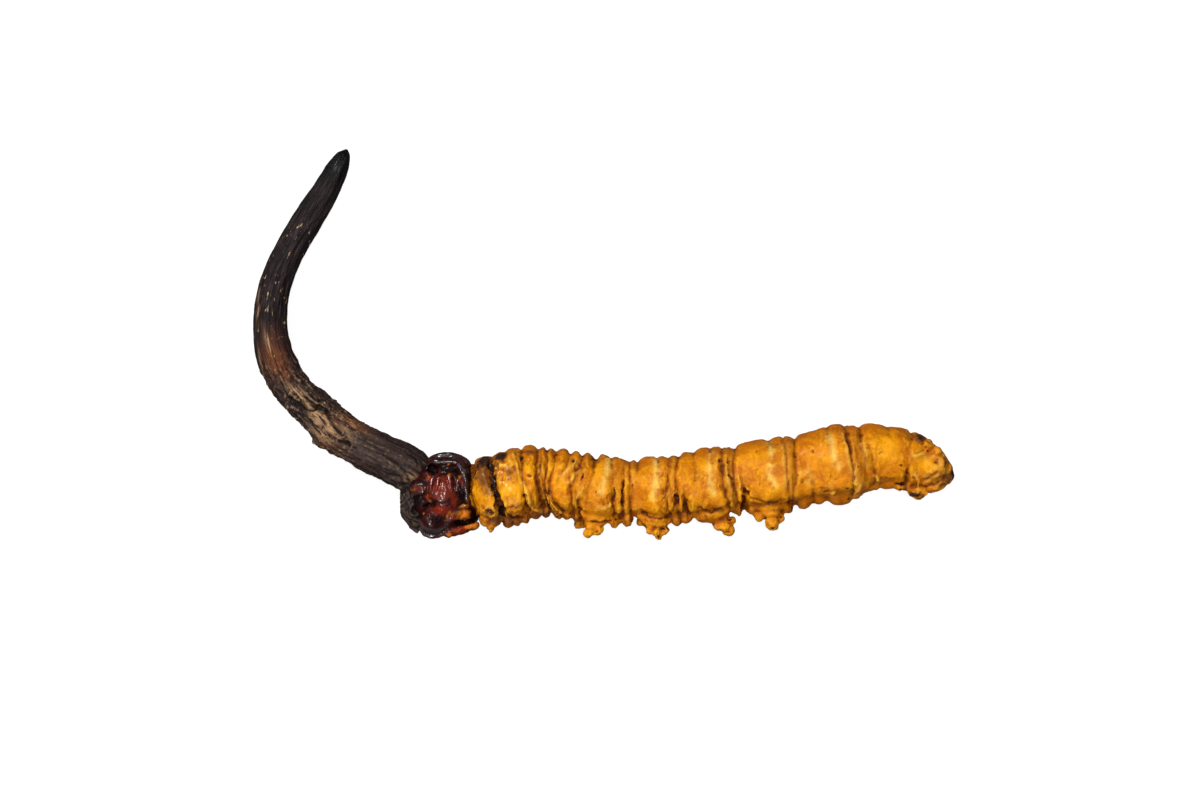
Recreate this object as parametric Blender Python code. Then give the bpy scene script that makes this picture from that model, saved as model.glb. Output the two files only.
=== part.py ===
"""A dried cordyceps fungus, lying on its side as it rests on a table.

Three pieces, as it comes apart on a bench: the stroma (the dark stalk that grew out of the
larva), the larva's head, and the larva's ringed body with its legs. +X runs from head to tail,
+Y from the belly to the back, +Z up from the table. The origin is on the table, under the
middle of the whole specimen.
"""

import math

import bmesh
import bpy
import numpy as np

MM = 0.001  # every length below is in millimetres
GAP = 0.3  # clearance between neighbouring solids
BODY_FLATNESS = 0.92  # height of the body's section over its width
BODY_SINK = 0.14  # how far the resting side is pressed flat on the table
NECK_X = -9.6
BODY_SIDES = 26
STALK_SIDES = 15
RINGS_PER_FOLD = 3

# The body's centreline from neck to tail: x, y, half width, lift off the table.
BODY_LINE = [
    (-9.60, -11.15, 2.30, 0.35),
    (-8.60, -11.05, 2.65, 0.20),
    (-7.00, -10.88, 2.85, 0.05),
    (-5.30, -10.45, 2.80, 0.00),
    (-3.50, -10.48, 2.58, 0.00),
    (-1.70, -10.72, 2.68, 0.00),
    (0.00, -10.95, 2.70, 0.00),
    (2.20, -11.00, 2.42, 0.00),
    (3.80, -11.00, 2.60, 0.00),
    (5.20, -10.95, 2.65, 0.00),
    (7.50, -10.62, 2.75, 0.00),
    (9.40, -10.42, 2.88, 0.00),
    (10.30, -10.20, 2.72, 0.00),
    (12.20, -9.95, 2.92, 0.00),
    (13.80, -9.80, 2.90, 0.00),
    (15.00, -9.55, 2.78, 0.00),
    (17.20, -9.05, 2.95, 0.00),
    (18.60, -8.87, 2.92, 0.05),
    (19.50, -8.62, 2.62, 0.10),
    (20.80, -8.42, 2.48, 0.15),
    (22.20, -8.60, 2.42, 0.20),
    (23.50, -9.05, 2.42, 0.25),
    (24.60, -9.45, 2.10, 0.50),
    (25.50, -9.72, 1.45, 1.00),
    (26.10, -9.88, 0.75, 1.55),
]
TAIL_TIP = (26.30, -9.92)

# The creases between the body's folds: x on the centreline, depth.
CREASES = [
    (-9.60, 0.10),
    (-8.00, 0.32),
    (-6.90, 0.20),
    (-6.00, 0.24),
    (-4.80, 0.28),
    (-4.15, 0.22),
    (-3.50, 0.30),
    (-2.45, 0.24),
    (-1.50, 0.26),
    (-0.50, 0.30),
    (0.50, 0.16),
    (1.95, 0.22),
    (2.55, 0.22),
    (4.00, 0.16),
    (4.80, 0.24),
    (5.70, 0.28),
    (8.00, 0.18),
    (8.90, 0.28),
    (9.85, 0.34),
    (12.40, 0.18),
    (13.40, 0.28),
    (14.40, 0.30),
    (16.90, 0.16),
    (18.05, 0.26),
    (18.95, 0.26),
    (22.10, 0.16),
    (23.40, 0.20),
    (24.70, 0.16),
    (26.30, 0.00),
]

# Prolegs, four pairs under the abdomen: x of the root, y and x of the tip on the upper side.
PROLEGS = [
    (-1.05, -14.42, -1.05),
    (3.75, -14.58, 4.00),
    (8.85, -14.30, 9.20),
    (12.45, -13.92, 12.75),
]
PROLEG_PROFILE = [(0.0, 1.15), (0.25, 1.10), (0.5, 0.95), (0.68, 0.66), (0.82, 0.74), (1.0, 0.42)]
PROLEG_SPREAD = 1.05  # how far each leg of a pair stands from the belly's middle, in height
# Thoracic legs, three pairs of dried stubs: x of the root, y of the tip on the upper side.
THORACIC_LEGS = [(-8.35, -14.05), (-7.20, -13.85), (-5.90, -13.50)]
THORACIC_PROFILE = [(0, 0.6), (0.6, 0.5), (1, 0.28)]
ANAL_LEG = (23.10, -11.55)  # x of the root, y of the tip
ANAL_PROFILE = [(0, 0.9), (0.7, 0.7), (1, 0.45)]

# The stalk from its tip to its root in the head: x, y, z, half width.
STALK_LINE = [
    (-19.30, 14.62, 2.25, 0.18),
    (-19.42, 14.35, 2.24, 0.44),
    (-19.62, 14.00, 2.22, 0.62),
    (-20.02, 13.20, 2.15, 0.82),
    (-20.87, 11.61, 2.00, 1.00),
    (-21.82, 10.07, 1.85, 1.10),
    (-23.27, 7.79, 1.62, 1.13),
    (-24.11, 6.20, 1.48, 1.18),
    (-24.75, 4.50, 1.36, 1.20),
    (-25.09, 2.70, 1.29, 1.25),
    (-25.12, 0.86, 1.28, 1.31),
    (-24.72, -0.96, 1.34, 1.38),
    (-23.90, -2.64, 1.44, 1.42),
    (-22.70, -4.09, 1.58, 1.46),
    (-21.32, -5.31, 1.76, 1.55),
    (-19.96, -6.51, 1.96, 1.70),
    (-18.39, -7.44, 2.18, 1.62),
    (-16.77, -8.26, 2.38, 1.66),
    (-15.12, -9.05, 2.55, 1.72),
    (-13.90, -9.75, 2.65, 1.85),
    (-12.90, -10.40, 2.70, 1.70),
]
# The stalk's root spreads into a collar that hugs the head's front.
STALK_FOOT = {"centre": (-13.55, -11.75, 2.60), "half": (1.62, 2.45, 2.10)}

HEAD = {"centre": (-11.72, -11.35, 2.64), "half": (1.98, 2.62, 2.22)}
NECK_FACE_X = NECK_X - GAP
# Lobes of the head: direction of the lobe's middle, its width as an angle, its height.
HEAD_LOBES = [
    ((0.05, 1.00, 0.10), 0.48, 0.58),
    ((-0.42, 0.75, 0.50), 0.40, 0.30),
    ((-0.55, -0.80, 0.25), 0.42, 0.50),
    ((0.38, -0.95, 0.00), 0.38, 0.62),
    ((-0.10, 0.05, 1.00), 0.60, 0.28),
    ((0.80, 0.40, 0.45), 0.35, 0.32),
    ((0.75, -0.50, 0.45), 0.30, 0.34),
    ((-0.85, 0.20, 0.30), 0.45, 0.26),
    ((0.10, 0.30, -1.00), 0.60, 0.25),
    ((-0.30, -0.60, -0.75), 0.45, 0.30),
]

OCHRE = (0.62, 0.33, 0.06)
AMBER = (0.13, 0.02, 0.01)
SOOT = (0.035, 0.022, 0.016)


def smooth_line(rows, steps=12):
    """Rows of numbers joined by a Catmull-Rom curve, with the given number of steps between rows."""
    rows = np.array(rows, float)
    padded = np.vstack([2 * rows[0] - rows[1], rows, 2 * rows[-1] - rows[-2]])
    out = []
    for i in range(1, len(padded) - 2):
        a, b, c, d = padded[i - 1 : i + 3]
        slope, bend, twist = c - a, 2 * a - 5 * b + 4 * c - d, 3 * b - a - 3 * c + d
        for t in np.arange(steps) / steps:
            out.append(b + 0.5 * (slope * t + bend * t**2 + twist * t**3))
    out.append(rows[-1])
    return np.array(out)


def mesh_object(name, points, faces, colour, roughness):
    """A new object from points in millimetres, shaded smooth, with one plain material."""
    mesh = bpy.data.meshes.new(name)
    mesh.from_pydata([tuple(p) for p in np.array(points) * MM], [], faces)
    mesh.validate()
    obj = bpy.data.objects.new(name, mesh)
    bpy.context.scene.collection.objects.link(obj)
    bm = bmesh.new()
    bm.from_mesh(mesh)
    bmesh.ops.recalc_face_normals(bm, faces=bm.faces)
    bm.to_mesh(mesh)
    bm.free()
    mesh.shade_smooth()
    material = bpy.data.materials.new(name)
    material.use_nodes = True
    shader = material.node_tree.nodes["Principled BSDF"]
    shader.inputs["Base Color"].default_value = (*colour, 1)
    shader.inputs["Roughness"].default_value = roughness
    mesh.materials.append(material)
    return obj


def skin(rings, start, end):
    """Points and faces of a closed skin over rings of equal length, ended by a point at each end."""
    rings = np.array(rings)
    count, sides = rings.shape[:2]
    points = np.vstack([rings.reshape(-1, 3), [start], [end]])
    faces = []
    for i in range(count - 1):
        for j in range(sides):
            k = (j + 1) % sides
            faces.append((i * sides + j, i * sides + k, (i + 1) * sides + k, (i + 1) * sides + j))
    last = (count - 1) * sides
    for j in range(sides):
        k = (j + 1) % sides
        faces.append((count * sides, k, j))
        faces.append((count * sides + 1, last + j, last + k))
    return points, faces


def tube(centres, half_widths, sides, flatness=1.0):
    """Rings around a line of centres. Each ring stands across the line, with one axis near +Z."""
    centres = np.array(centres)
    along = np.gradient(centres, axis=0)
    along /= np.linalg.norm(along, axis=1)[:, None]
    up = np.array([0, 0, 1.0])
    across = np.cross(up, along)
    across /= np.linalg.norm(across, axis=1)[:, None]
    upright = np.cross(along, across)
    angles = np.arange(sides) * 2 * math.pi / sides
    return [
        c + r * np.cos(angles)[:, None] * n + flatness * r * np.sin(angles)[:, None] * u
        for c, r, n, u in zip(centres, half_widths, across, upright)
    ]


def cutter(obj):
    """Marks an object as a helper of a Boolean, so that it isn't a piece."""
    obj.hide_render = True
    obj.display_type = "WIRE"
    return obj


def boolean(obj, other, operation):
    modifier = obj.modifiers.new(operation.lower(), "BOOLEAN")
    modifier.operation = operation
    modifier.object = other


def fold_depth(x):
    """How far the skin lies under its full width at x: deepest at a crease, nothing on a fold's crown."""
    at, depth = np.array(CREASES).T
    i = np.clip(np.searchsorted(at, x, side="right") - 1, 0, len(at) - 2)
    t = (x - at[i]) / (at[i + 1] - at[i])
    return (depth[i] * (1 - t) + depth[i + 1] * t) * np.abs(2 * t - 1) ** 3


def body_stations():
    """The x of each ring: a few for every fold, closer together near the tail's tip."""
    at = np.array(CREASES)[:, 0]
    steps = np.arange(RINGS_PER_FOLD) / RINGS_PER_FOLD
    stations = (at[:-1, None] + np.diff(at)[:, None] * steps).ravel()
    last = BODY_LINE[-1][0]
    return np.array([*stations[stations < last - 0.6], last - 0.5, last - 0.15, last])


def leg_object(name, root, tip, profile, sides):
    """A short stub from root to tip. Its profile is pairs of (place along it, half width)."""
    root, tip = np.array(root, float), np.array(tip, float)
    places = np.array([p for p, _ in profile])
    centres = root + places[:, None] * (tip - root)
    rings = tube(centres, [w for _, w in profile], sides)
    return mesh_object(name, *skin(rings, root, tip + 0.04 * (tip - root)), OCHRE, 0.6)


def make_body():
    line = smooth_line(BODY_LINE)
    x = body_stations()
    y, half, lift = (np.interp(x, line[:, 0], line[:, k]) for k in (1, 2, 3))
    half = half - fold_depth(x)
    height = half * BODY_FLATNESS
    z = np.interp(x, line[:, 0], line[:, 2]) * BODY_FLATNESS - BODY_SINK + lift
    rings = np.array(tube(np.column_stack([x, y, z]), half, BODY_SIDES, BODY_FLATNESS))
    start, end = (x[0], y[0], z[0]), (*TAIL_TIP, z[-1])
    rings[0, :, 0] = x[0]  # the neck face is upright
    points, faces = skin(rings, start, end)
    points[:, 2] = np.maximum(points[:, 2], 0)
    body = mesh_object("larva", points, faces, OCHRE, 0.55)

    middle = float(np.interp(0, x, z))
    legs = []
    for n, (root_x, tip_y, tip_x) in enumerate(PROLEGS):
        upper_root = (root_x, tip_y + 3.2, middle + 0.85)
        upper_tip = (tip_x, tip_y, middle + PROLEG_SPREAD)
        lower_root = (root_x - 0.5, tip_y + 3.2, middle - 0.85)
        lower_tip = (tip_x - 0.9, tip_y + 0.7, middle - PROLEG_SPREAD)
        legs.append(leg_object(f"proleg_upper_{n}", upper_root, upper_tip, PROLEG_PROFILE, 11))
        legs.append(leg_object(f"proleg_lower_{n}", lower_root, lower_tip, PROLEG_PROFILE, 11))
    for side, name in ((1, "upper"), (-1, "lower")):
        for n, (root_x, tip_y) in enumerate(THORACIC_LEGS):
            root = (root_x, tip_y + 1.6, middle + side * 0.7)
            tip = (root_x - 0.1, tip_y, middle + side * 1.0)
            legs.append(leg_object(f"leg_{name}_{n}", root, tip, THORACIC_PROFILE, 8))
        root = (ANAL_LEG[0] + 0.3, ANAL_LEG[1] + 2.2, middle + side * 0.8)
        tip = (ANAL_LEG[0], ANAL_LEG[1], middle + side * 1.1)
        legs.append(leg_object(f"anal_leg_{name}", root, tip, ANAL_PROFILE, 10))
    for leg in legs:
        boolean(body, cutter(leg), "UNION")
    return body


def head_points(grow=0.0):
    """Points and faces of the head: an ellipsoid with lobes, cut flat at the neck."""
    bm = bmesh.new()
    bmesh.ops.create_icosphere(bm, subdivisions=4, radius=1)
    directions = np.array([v.co for v in bm.verts])
    faces = [tuple(v.index for v in f.verts) for f in bm.faces]
    bm.free()
    reach = np.ones(len(directions))
    for middle, width, height in HEAD_LOBES:
        middle = np.array(middle) / np.linalg.norm(middle)
        angle = np.arccos(np.clip(directions @ middle, -1, 1))
        reach += height / 2.5 * np.exp(-((angle / width) ** 2))
    points = directions * reach[:, None] * np.array(HEAD["half"])
    points += directions * grow + np.array(HEAD["centre"])
    return points, faces


def make_head():
    points, faces = head_points()
    points[:, 0] = np.minimum(points[:, 0], NECK_FACE_X)
    points[:, 2] = np.maximum(points[:, 2], 0)
    return mesh_object("head", points, faces, AMBER, 0.25)


def make_stroma():
    line = smooth_line(STALK_LINE, 3)
    rings = tube(line[:, :3], line[:, 3], STALK_SIDES)
    tip = line[0, :3] + 0.12 * (line[0, :3] - line[1, :3]) / np.linalg.norm(line[0, :3] - line[1, :3])
    points, faces = skin(rings, tip, line[-1, :3])
    points[:, 2] = np.maximum(points[:, 2], 0)
    stalk = mesh_object("stroma", points, faces, SOOT, 0.7)

    bm = bmesh.new()
    bmesh.ops.create_uvsphere(bm, u_segments=20, v_segments=12, radius=1)
    ball = np.array([v.co for v in bm.verts])
    ball_faces = [tuple(v.index for v in f.verts) for f in bm.faces]
    bm.free()
    foot_points = ball * np.array(STALK_FOOT["half"]) + np.array(STALK_FOOT["centre"])
    foot = cutter(mesh_object("stalk_foot", foot_points, ball_faces, SOOT, 0.7))
    clearance = cutter(mesh_object("head_clearance", *head_points(GAP), AMBER, 0.25))
    boolean(stalk, foot, "UNION")
    boolean(stalk, clearance, "DIFFERENCE")
    return stalk


for old in list(bpy.data.objects):
    bpy.data.objects.remove(old, do_unlink=True)
make_body()
make_head()
make_stroma()
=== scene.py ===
import math

import bmesh
import bpy
import numpy as np
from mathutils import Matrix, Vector, noise


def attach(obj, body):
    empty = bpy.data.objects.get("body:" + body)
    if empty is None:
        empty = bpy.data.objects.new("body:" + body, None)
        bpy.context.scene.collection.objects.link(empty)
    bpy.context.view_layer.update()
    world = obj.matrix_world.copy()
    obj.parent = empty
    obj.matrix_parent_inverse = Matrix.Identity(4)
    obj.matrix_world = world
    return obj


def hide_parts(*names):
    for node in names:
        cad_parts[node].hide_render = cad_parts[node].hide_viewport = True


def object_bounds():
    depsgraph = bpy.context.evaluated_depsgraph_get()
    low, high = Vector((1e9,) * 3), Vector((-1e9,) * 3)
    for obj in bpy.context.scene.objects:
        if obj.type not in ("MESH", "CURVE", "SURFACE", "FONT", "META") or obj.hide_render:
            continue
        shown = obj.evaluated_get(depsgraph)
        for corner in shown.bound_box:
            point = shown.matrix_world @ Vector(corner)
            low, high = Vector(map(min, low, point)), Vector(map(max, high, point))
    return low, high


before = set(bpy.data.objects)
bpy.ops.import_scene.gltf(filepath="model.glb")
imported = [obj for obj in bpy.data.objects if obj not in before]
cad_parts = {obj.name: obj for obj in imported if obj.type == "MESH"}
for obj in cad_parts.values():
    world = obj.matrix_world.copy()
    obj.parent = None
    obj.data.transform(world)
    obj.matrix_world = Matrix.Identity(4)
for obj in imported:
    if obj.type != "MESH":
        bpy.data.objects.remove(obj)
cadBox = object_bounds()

mm = 0.001  # shapes are worked out in millimetres and scaled once, when a piece is finished


def smoothLine(rows, steps=10):
    # Catmull-Rom curve through the rows
    rows = np.array(rows, float)
    padded = np.vstack([2 * rows[0] - rows[1], rows, 2 * rows[-1] - rows[-2]])
    out = []
    for i in range(1, len(padded) - 2):
        a, b, c, d = padded[i - 1:i + 3]
        for t in np.arange(steps) / steps:
            out.append(b + 0.5 * ((c - a) * t + (2 * a - 5 * b + 4 * c - d) * t**2
                                  + (3 * b - a - 3 * c + d) * t**3))
    out.append(rows[-1])
    return np.array(out)


def skin(rings):
    # closed surface over rings of equal length, with a point in the middle of each end
    rings = np.array(rings)
    count, sides = rings.shape[:2]
    points = np.vstack([rings.reshape(-1, 3), [rings[0].mean(0)], [rings[-1].mean(0)]])
    i, j = np.meshgrid(np.arange(count - 1) * sides, np.arange(sides), indexing="ij")
    k = (j + 1) % sides
    walls = np.stack([i + j, i + k, i + sides + k, i + sides + j], -1).reshape(-1, 4)
    j = np.arange(sides)
    k = (j + 1) % sides
    last = (count - 1) * sides
    first = np.column_stack([np.full(sides, count * sides), k, j])
    end = np.column_stack([np.full(sides, count * sides + 1), last + j, last + k])
    return points, [*map(tuple, walls.tolist()), *map(tuple, first.tolist()), *map(tuple, end.tolist())]


def acrossLine(centres):
    # for each centre: the line's direction, the level direction across it, and the one near +Z
    along = np.gradient(centres, axis=0)
    along /= np.linalg.norm(along, axis=1)[:, None]
    across = np.cross([0, 0, 1.0], along)
    across /= np.linalg.norm(across, axis=1)[:, None]
    return along, across, np.cross(along, across)


def strand(rows, sides=16, steps=6):
    # a round tube through rows of x, y, z, half width
    line = smoothLine(rows, steps)
    centres, half = line[:, :3], line[:, 3]
    along, across, upright = acrossLine(centres)
    angles = np.arange(sides) * 2 * math.pi / sides
    rings = [c + r * (np.cos(angles)[:, None] * n + np.sin(angles)[:, None] * u)
             for c, r, n, u in zip(centres, half, across, upright)]
    start = centres[0] - along[0] * half[0] * 0.6 + 0.4 * (rings[0] - centres[0])
    end = centres[-1] + along[-1] * half[-1] * 0.6 + 0.4 * (rings[-1] - centres[-1])
    return skin([start, *rings, end])


def lobe(x, y, z, rx, ry, rz, turn):
    # an egg, turned in plan by so many degrees
    sides, pole = 28, 0.06  # the rings stop this far short of the poles, in radians
    tilt = np.linspace(pole, math.pi - pole, 18)
    angles = np.arange(sides) * 2 * math.pi / sides
    c, s = math.cos(math.radians(turn)), math.sin(math.radians(turn))
    rings = []
    for t in tilt:
        px, py = rx * math.sin(t) * np.cos(angles), ry * math.sin(t) * np.sin(angles)
        rings.append(np.column_stack([x + px * c - py * s, y + px * s + py * c,
                                      np.full(sides, z - rz * math.cos(t))]))
    return skin(rings)


def keepOuterSkin(piece):
    # the fusing leaves a few sealed bubbles inside: only the largest connected skin stays
    mesh = piece.data
    starts, stops = edgesOf(piece).T
    group, before = np.arange(len(mesh.vertices)), None
    while before is None or (group != before).any():
        before = group
        low = np.minimum(before[starts], before[stops])
        group = before.copy()
        np.minimum.at(group, before[starts], low)
        np.minimum.at(group, before[stops], low)
        group = group[group]
    stray = group != np.bincount(group).argmax()
    print(mesh.name, "loses", int(stray.sum()), "points of inner bubbles")
    grid = bmesh.new()
    grid.from_mesh(mesh)
    bmesh.ops.delete(grid, geom=[v for v in grid.verts if stray[v.index]], context="VERTS")
    grid.to_mesh(mesh)
    grid.free()


def fuse(name, shapes, voxel):
    # overlapping closed shapes become one skin of small even faces
    points = np.vstack([p for p, f in shapes])
    faces, first = [], 0
    for p, f in shapes:
        faces += [tuple(i + first for i in face) for face in f]
        first += len(p)
    mesh = bpy.data.meshes.new(name)
    mesh.from_pydata(points.tolist(), [], faces)
    piece = bpy.data.objects.new(name, mesh)
    bpy.context.scene.collection.objects.link(piece)
    remesh = piece.modifiers.new("fuse", "REMESH")
    remesh.mode = "VOXEL"
    remesh.voxel_size = voxel
    graph = bpy.context.evaluated_depsgraph_get()
    fused = bpy.data.meshes.new_from_object(piece.evaluated_get(graph))
    piece.modifiers.clear()
    piece.data = fused
    bpy.data.meshes.remove(mesh)
    fused.name = name
    keepOuterSkin(piece)
    fused.shade_smooth()
    return piece


def readPoints(piece):
    points = np.empty(len(piece.data.vertices) * 3)
    piece.data.vertices.foreach_get("co", points)
    return points.reshape(-1, 3)


def writePoints(piece, points):
    piece.data.vertices.foreach_set("co", np.ascontiguousarray(points, np.float32).ravel())
    piece.data.update()


def normalsOf(piece, points):
    writePoints(piece, points)
    normals = np.empty(len(points) * 3)
    piece.data.vertex_normals.foreach_get("vector", normals)
    return normals.reshape(-1, 3)


def edgesOf(piece):
    edges = np.empty(len(piece.data.edges) * 2, np.int64)
    piece.data.edges.foreach_get("vertices", edges)
    return edges.reshape(-1, 2)


def averaged(values, edges, rounds):
    # in each round a point's value moves half-way to the mean of its neighbours
    values = np.array(values, float)
    flat = values.ndim == 1
    if flat:
        values = values[:, None]
    a, b = edges.T
    count = np.bincount(a, minlength=len(values)) + np.bincount(b, minlength=len(values))
    for _ in range(rounds):
        for column in range(values.shape[1]):
            v = values[:, column]
            total = (np.bincount(a, weights=v[b], minlength=len(v))
                     + np.bincount(b, weights=v[a], minlength=len(v)))
            values[:, column] = v + 0.5 * (total / count - v)
    return values[:, 0] if flat else values


def hollowness(points, normals, edges, rounds):
    # how far each point lies under its surroundings: over 0 in a valley, under 0 on a crown
    return ((averaged(points, edges, rounds) - points) * normals).sum(1)


def grit(points, size, octaves, seed, stretch=(1, 1, 1)):
    # fractal noise, about -1 to 1, with bumps of the given size in mm
    place = points * (np.array(stretch) / size) + seed * 7.13
    return np.array([noise.fractal(p, 1.0, 2.0, octaves) for p in place.tolist()])


def ramp(value, low, high):
    t = np.clip((value - low) / (high - low), 0, 1)
    return t * t * (3 - 2 * t)


def nearPath(points, path):
    # distance in plan from a smooth path, and how far along it, 0 to 1
    line = smoothLine(path, 6) if len(path) > 2 else np.array(path, float)
    best = np.full(len(points), 1e9)
    place = np.zeros(len(points))
    for i, (a, b) in enumerate(zip(line[:-1], line[1:])):
        step = b - a
        t = np.clip(((points[:, :2] - a) @ step) / (step @ step), 0, 1)
        gap = np.hypot(*(points[:, :2] - a - t[:, None] * step).T)
        closer = gap < best
        best[closer] = gap[closer]
        place[closer] = (i + t[closer]) / (len(line) - 1)
    return best, place


def groove(points, path, width):
    # 1 along the path, fading over its width and towards its two ends
    gap, place = nearPath(points, path)
    return np.exp(-(gap / width) ** 2) * np.sqrt(np.clip(4 * place * (1 - place), 0, 1))


def spot(points, x, y, rx, ry, turn):
    # 1 in the middle of an oval, fading to its edge
    c, s = math.cos(math.radians(turn)), math.sin(math.radians(turn))
    px, py = points[:, 0] - x, points[:, 1] - y
    return np.exp(-(((px * c + py * s) / rx) ** 2 + ((py * c - px * s) / ry) ** 2))


def putMasks(piece, **masks):
    for name, values in masks.items():
        layer = piece.data.attributes.new(name, "FLOAT", "POINT")
        layer.data.foreach_set("value", np.clip(values, 0, 1).astype(np.float32))


def putPlaces(piece, name, values):
    layer = piece.data.attributes.new(name, "FLOAT_VECTOR", "POINT")
    layer.data.foreach_set("vector", values.astype(np.float32).ravel())


def startPiece(name, shapes, voxel, rounds):
    # the fused and evened piece with its edges, points and normals
    piece = fuse(name, shapes, voxel)
    edges = edgesOf(piece)
    points = averaged(readPoints(piece), edges, rounds)
    return piece, edges, points, normalsOf(piece, points)


def wandering(points, amount, size, seed):
    # places for marks that stray a little, so none of them is a clean oval
    strayed = points.copy()
    for axis in (0, 1):
        strayed[:, axis] += amount * grit(points, size, 3, seed=seed + axis)
    return strayed


def finishPiece(piece, points, node, material):
    points = points.copy()
    points[:, 2] = np.maximum(points[:, 2], 0)
    writePoints(piece, points * mm)
    piece.data.materials.clear()
    piece.data.materials.append(material)
    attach(piece, "root")
    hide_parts(node)
    print(piece.name, "has", len(piece.data.polygons), "faces")


# A shader socket that can be added to and multiplied like a number
class Value:
    def __init__(self, recipe, socket):
        self.recipe = recipe
        self.socket = socket

    def math(self, operation, first, second):
        node = self.recipe.add("ShaderNodeMath", {"operation": operation}, {0: first, 1: second})
        return Value(self.recipe, node.outputs[0])

    def __add__(self, other):
        return self.math("ADD", self, other)

    def __sub__(self, other):
        return self.math("SUBTRACT", self, other)

    def __rsub__(self, other):
        return self.math("SUBTRACT", other, self)

    def __mul__(self, other):
        return self.math("MULTIPLY", self, other)

    def clamped(self):
        return self.math("MINIMUM", self.math("MAXIMUM", self, 0.0), 1.0)

    __radd__ = __add__
    __rmul__ = __mul__


# A material in the making: its nodes, and the colour laid on so far
class Recipe:
    def __init__(self, name, colours, ground, **constants):
        self.colours = colours
        self.colour = colours[ground]
        self.material = bpy.data.materials.new(name)
        self.material.use_nodes = True
        self.tree = self.material.node_tree
        self.shader = self.tree.nodes["Principled BSDF"]
        for socket, value in constants.items():
            self.shader.inputs[socket.replace("_", " ")].default_value = value

    def add(self, kind, settings, sockets):
        node = self.tree.nodes.new(kind)
        for key, value in settings.items():
            setattr(node, key, value)
        for key, value in sockets.items():
            self.feed(node.inputs[key], value)
        return node

    def feed(self, socket, value):
        if isinstance(value, Value):
            value = value.socket
        if isinstance(value, bpy.types.NodeSocket):
            self.tree.links.new(value, socket)
        elif isinstance(value, tuple) and socket.type == "RGBA":
            socket.default_value = (*value, 1)
        else:
            socket.default_value = value

    def mask(self, name):
        node = self.add("ShaderNodeAttribute", {"attribute_name": name}, {})
        return Value(self, node.outputs["Fac"])

    def places(self, name):
        return self.add("ShaderNodeAttribute", {"attribute_name": name}, {}).outputs["Vector"]

    def noise(self, size, detail, roughness, places=None, stretch=(1, 1, 1)):
        # size in mm; places are in mm too
        places = places or self.places("place")
        scaled = self.add("ShaderNodeVectorMath", {"operation": "MULTIPLY"}, {0: places, 1: stretch})
        node = self.add("ShaderNodeTexNoise", {}, {"Vector": scaled.outputs[0], "Scale": 1 / size,
                                                   "Detail": detail, "Roughness": roughness})
        return Value(self, node.outputs["Fac"])

    def dots(self, size):
        node = self.add("ShaderNodeTexVoronoi", {"feature": "F1"},
                        {"Vector": self.places("place"), "Scale": 1 / size})
        return Value(self, node.outputs["Distance"])

    def between(self, value, low, high):
        # 0 under low, 1 over high, smooth between
        node = self.add("ShaderNodeMapRange", {"interpolation_type": "SMOOTHSTEP"},
                        {"Value": value, "From Min": low, "From Max": high})
        return Value(self, node.outputs["Result"])

    def mix(self, factor, first, second):
        node = self.add("ShaderNodeMix", {"data_type": "RGBA", "clamp_factor": True},
                        {0: factor, 6: first, 7: second})
        return node.outputs[2]

    def tint(self, factor, name):
        # one more colour over those that are there
        self.colour = self.mix(factor, self.colour, self.colours[name])

    def finish(self, roughness, coat, height, depth):
        # the bump's height goes from 0 to 1 over a depth in mm
        bump = self.add("ShaderNodeBump", {}, {"Height": height, "Distance": depth * mm, "Strength": 1.0})
        sockets = {"Base Color": self.colour, "Roughness": roughness.clamped(),
                   "Coat Weight": coat.clamped(), "Normal": bump.outputs["Normal"]}
        for name, value in sockets.items():
            self.feed(self.shader.inputs[name], value)
        return self.material


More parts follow.
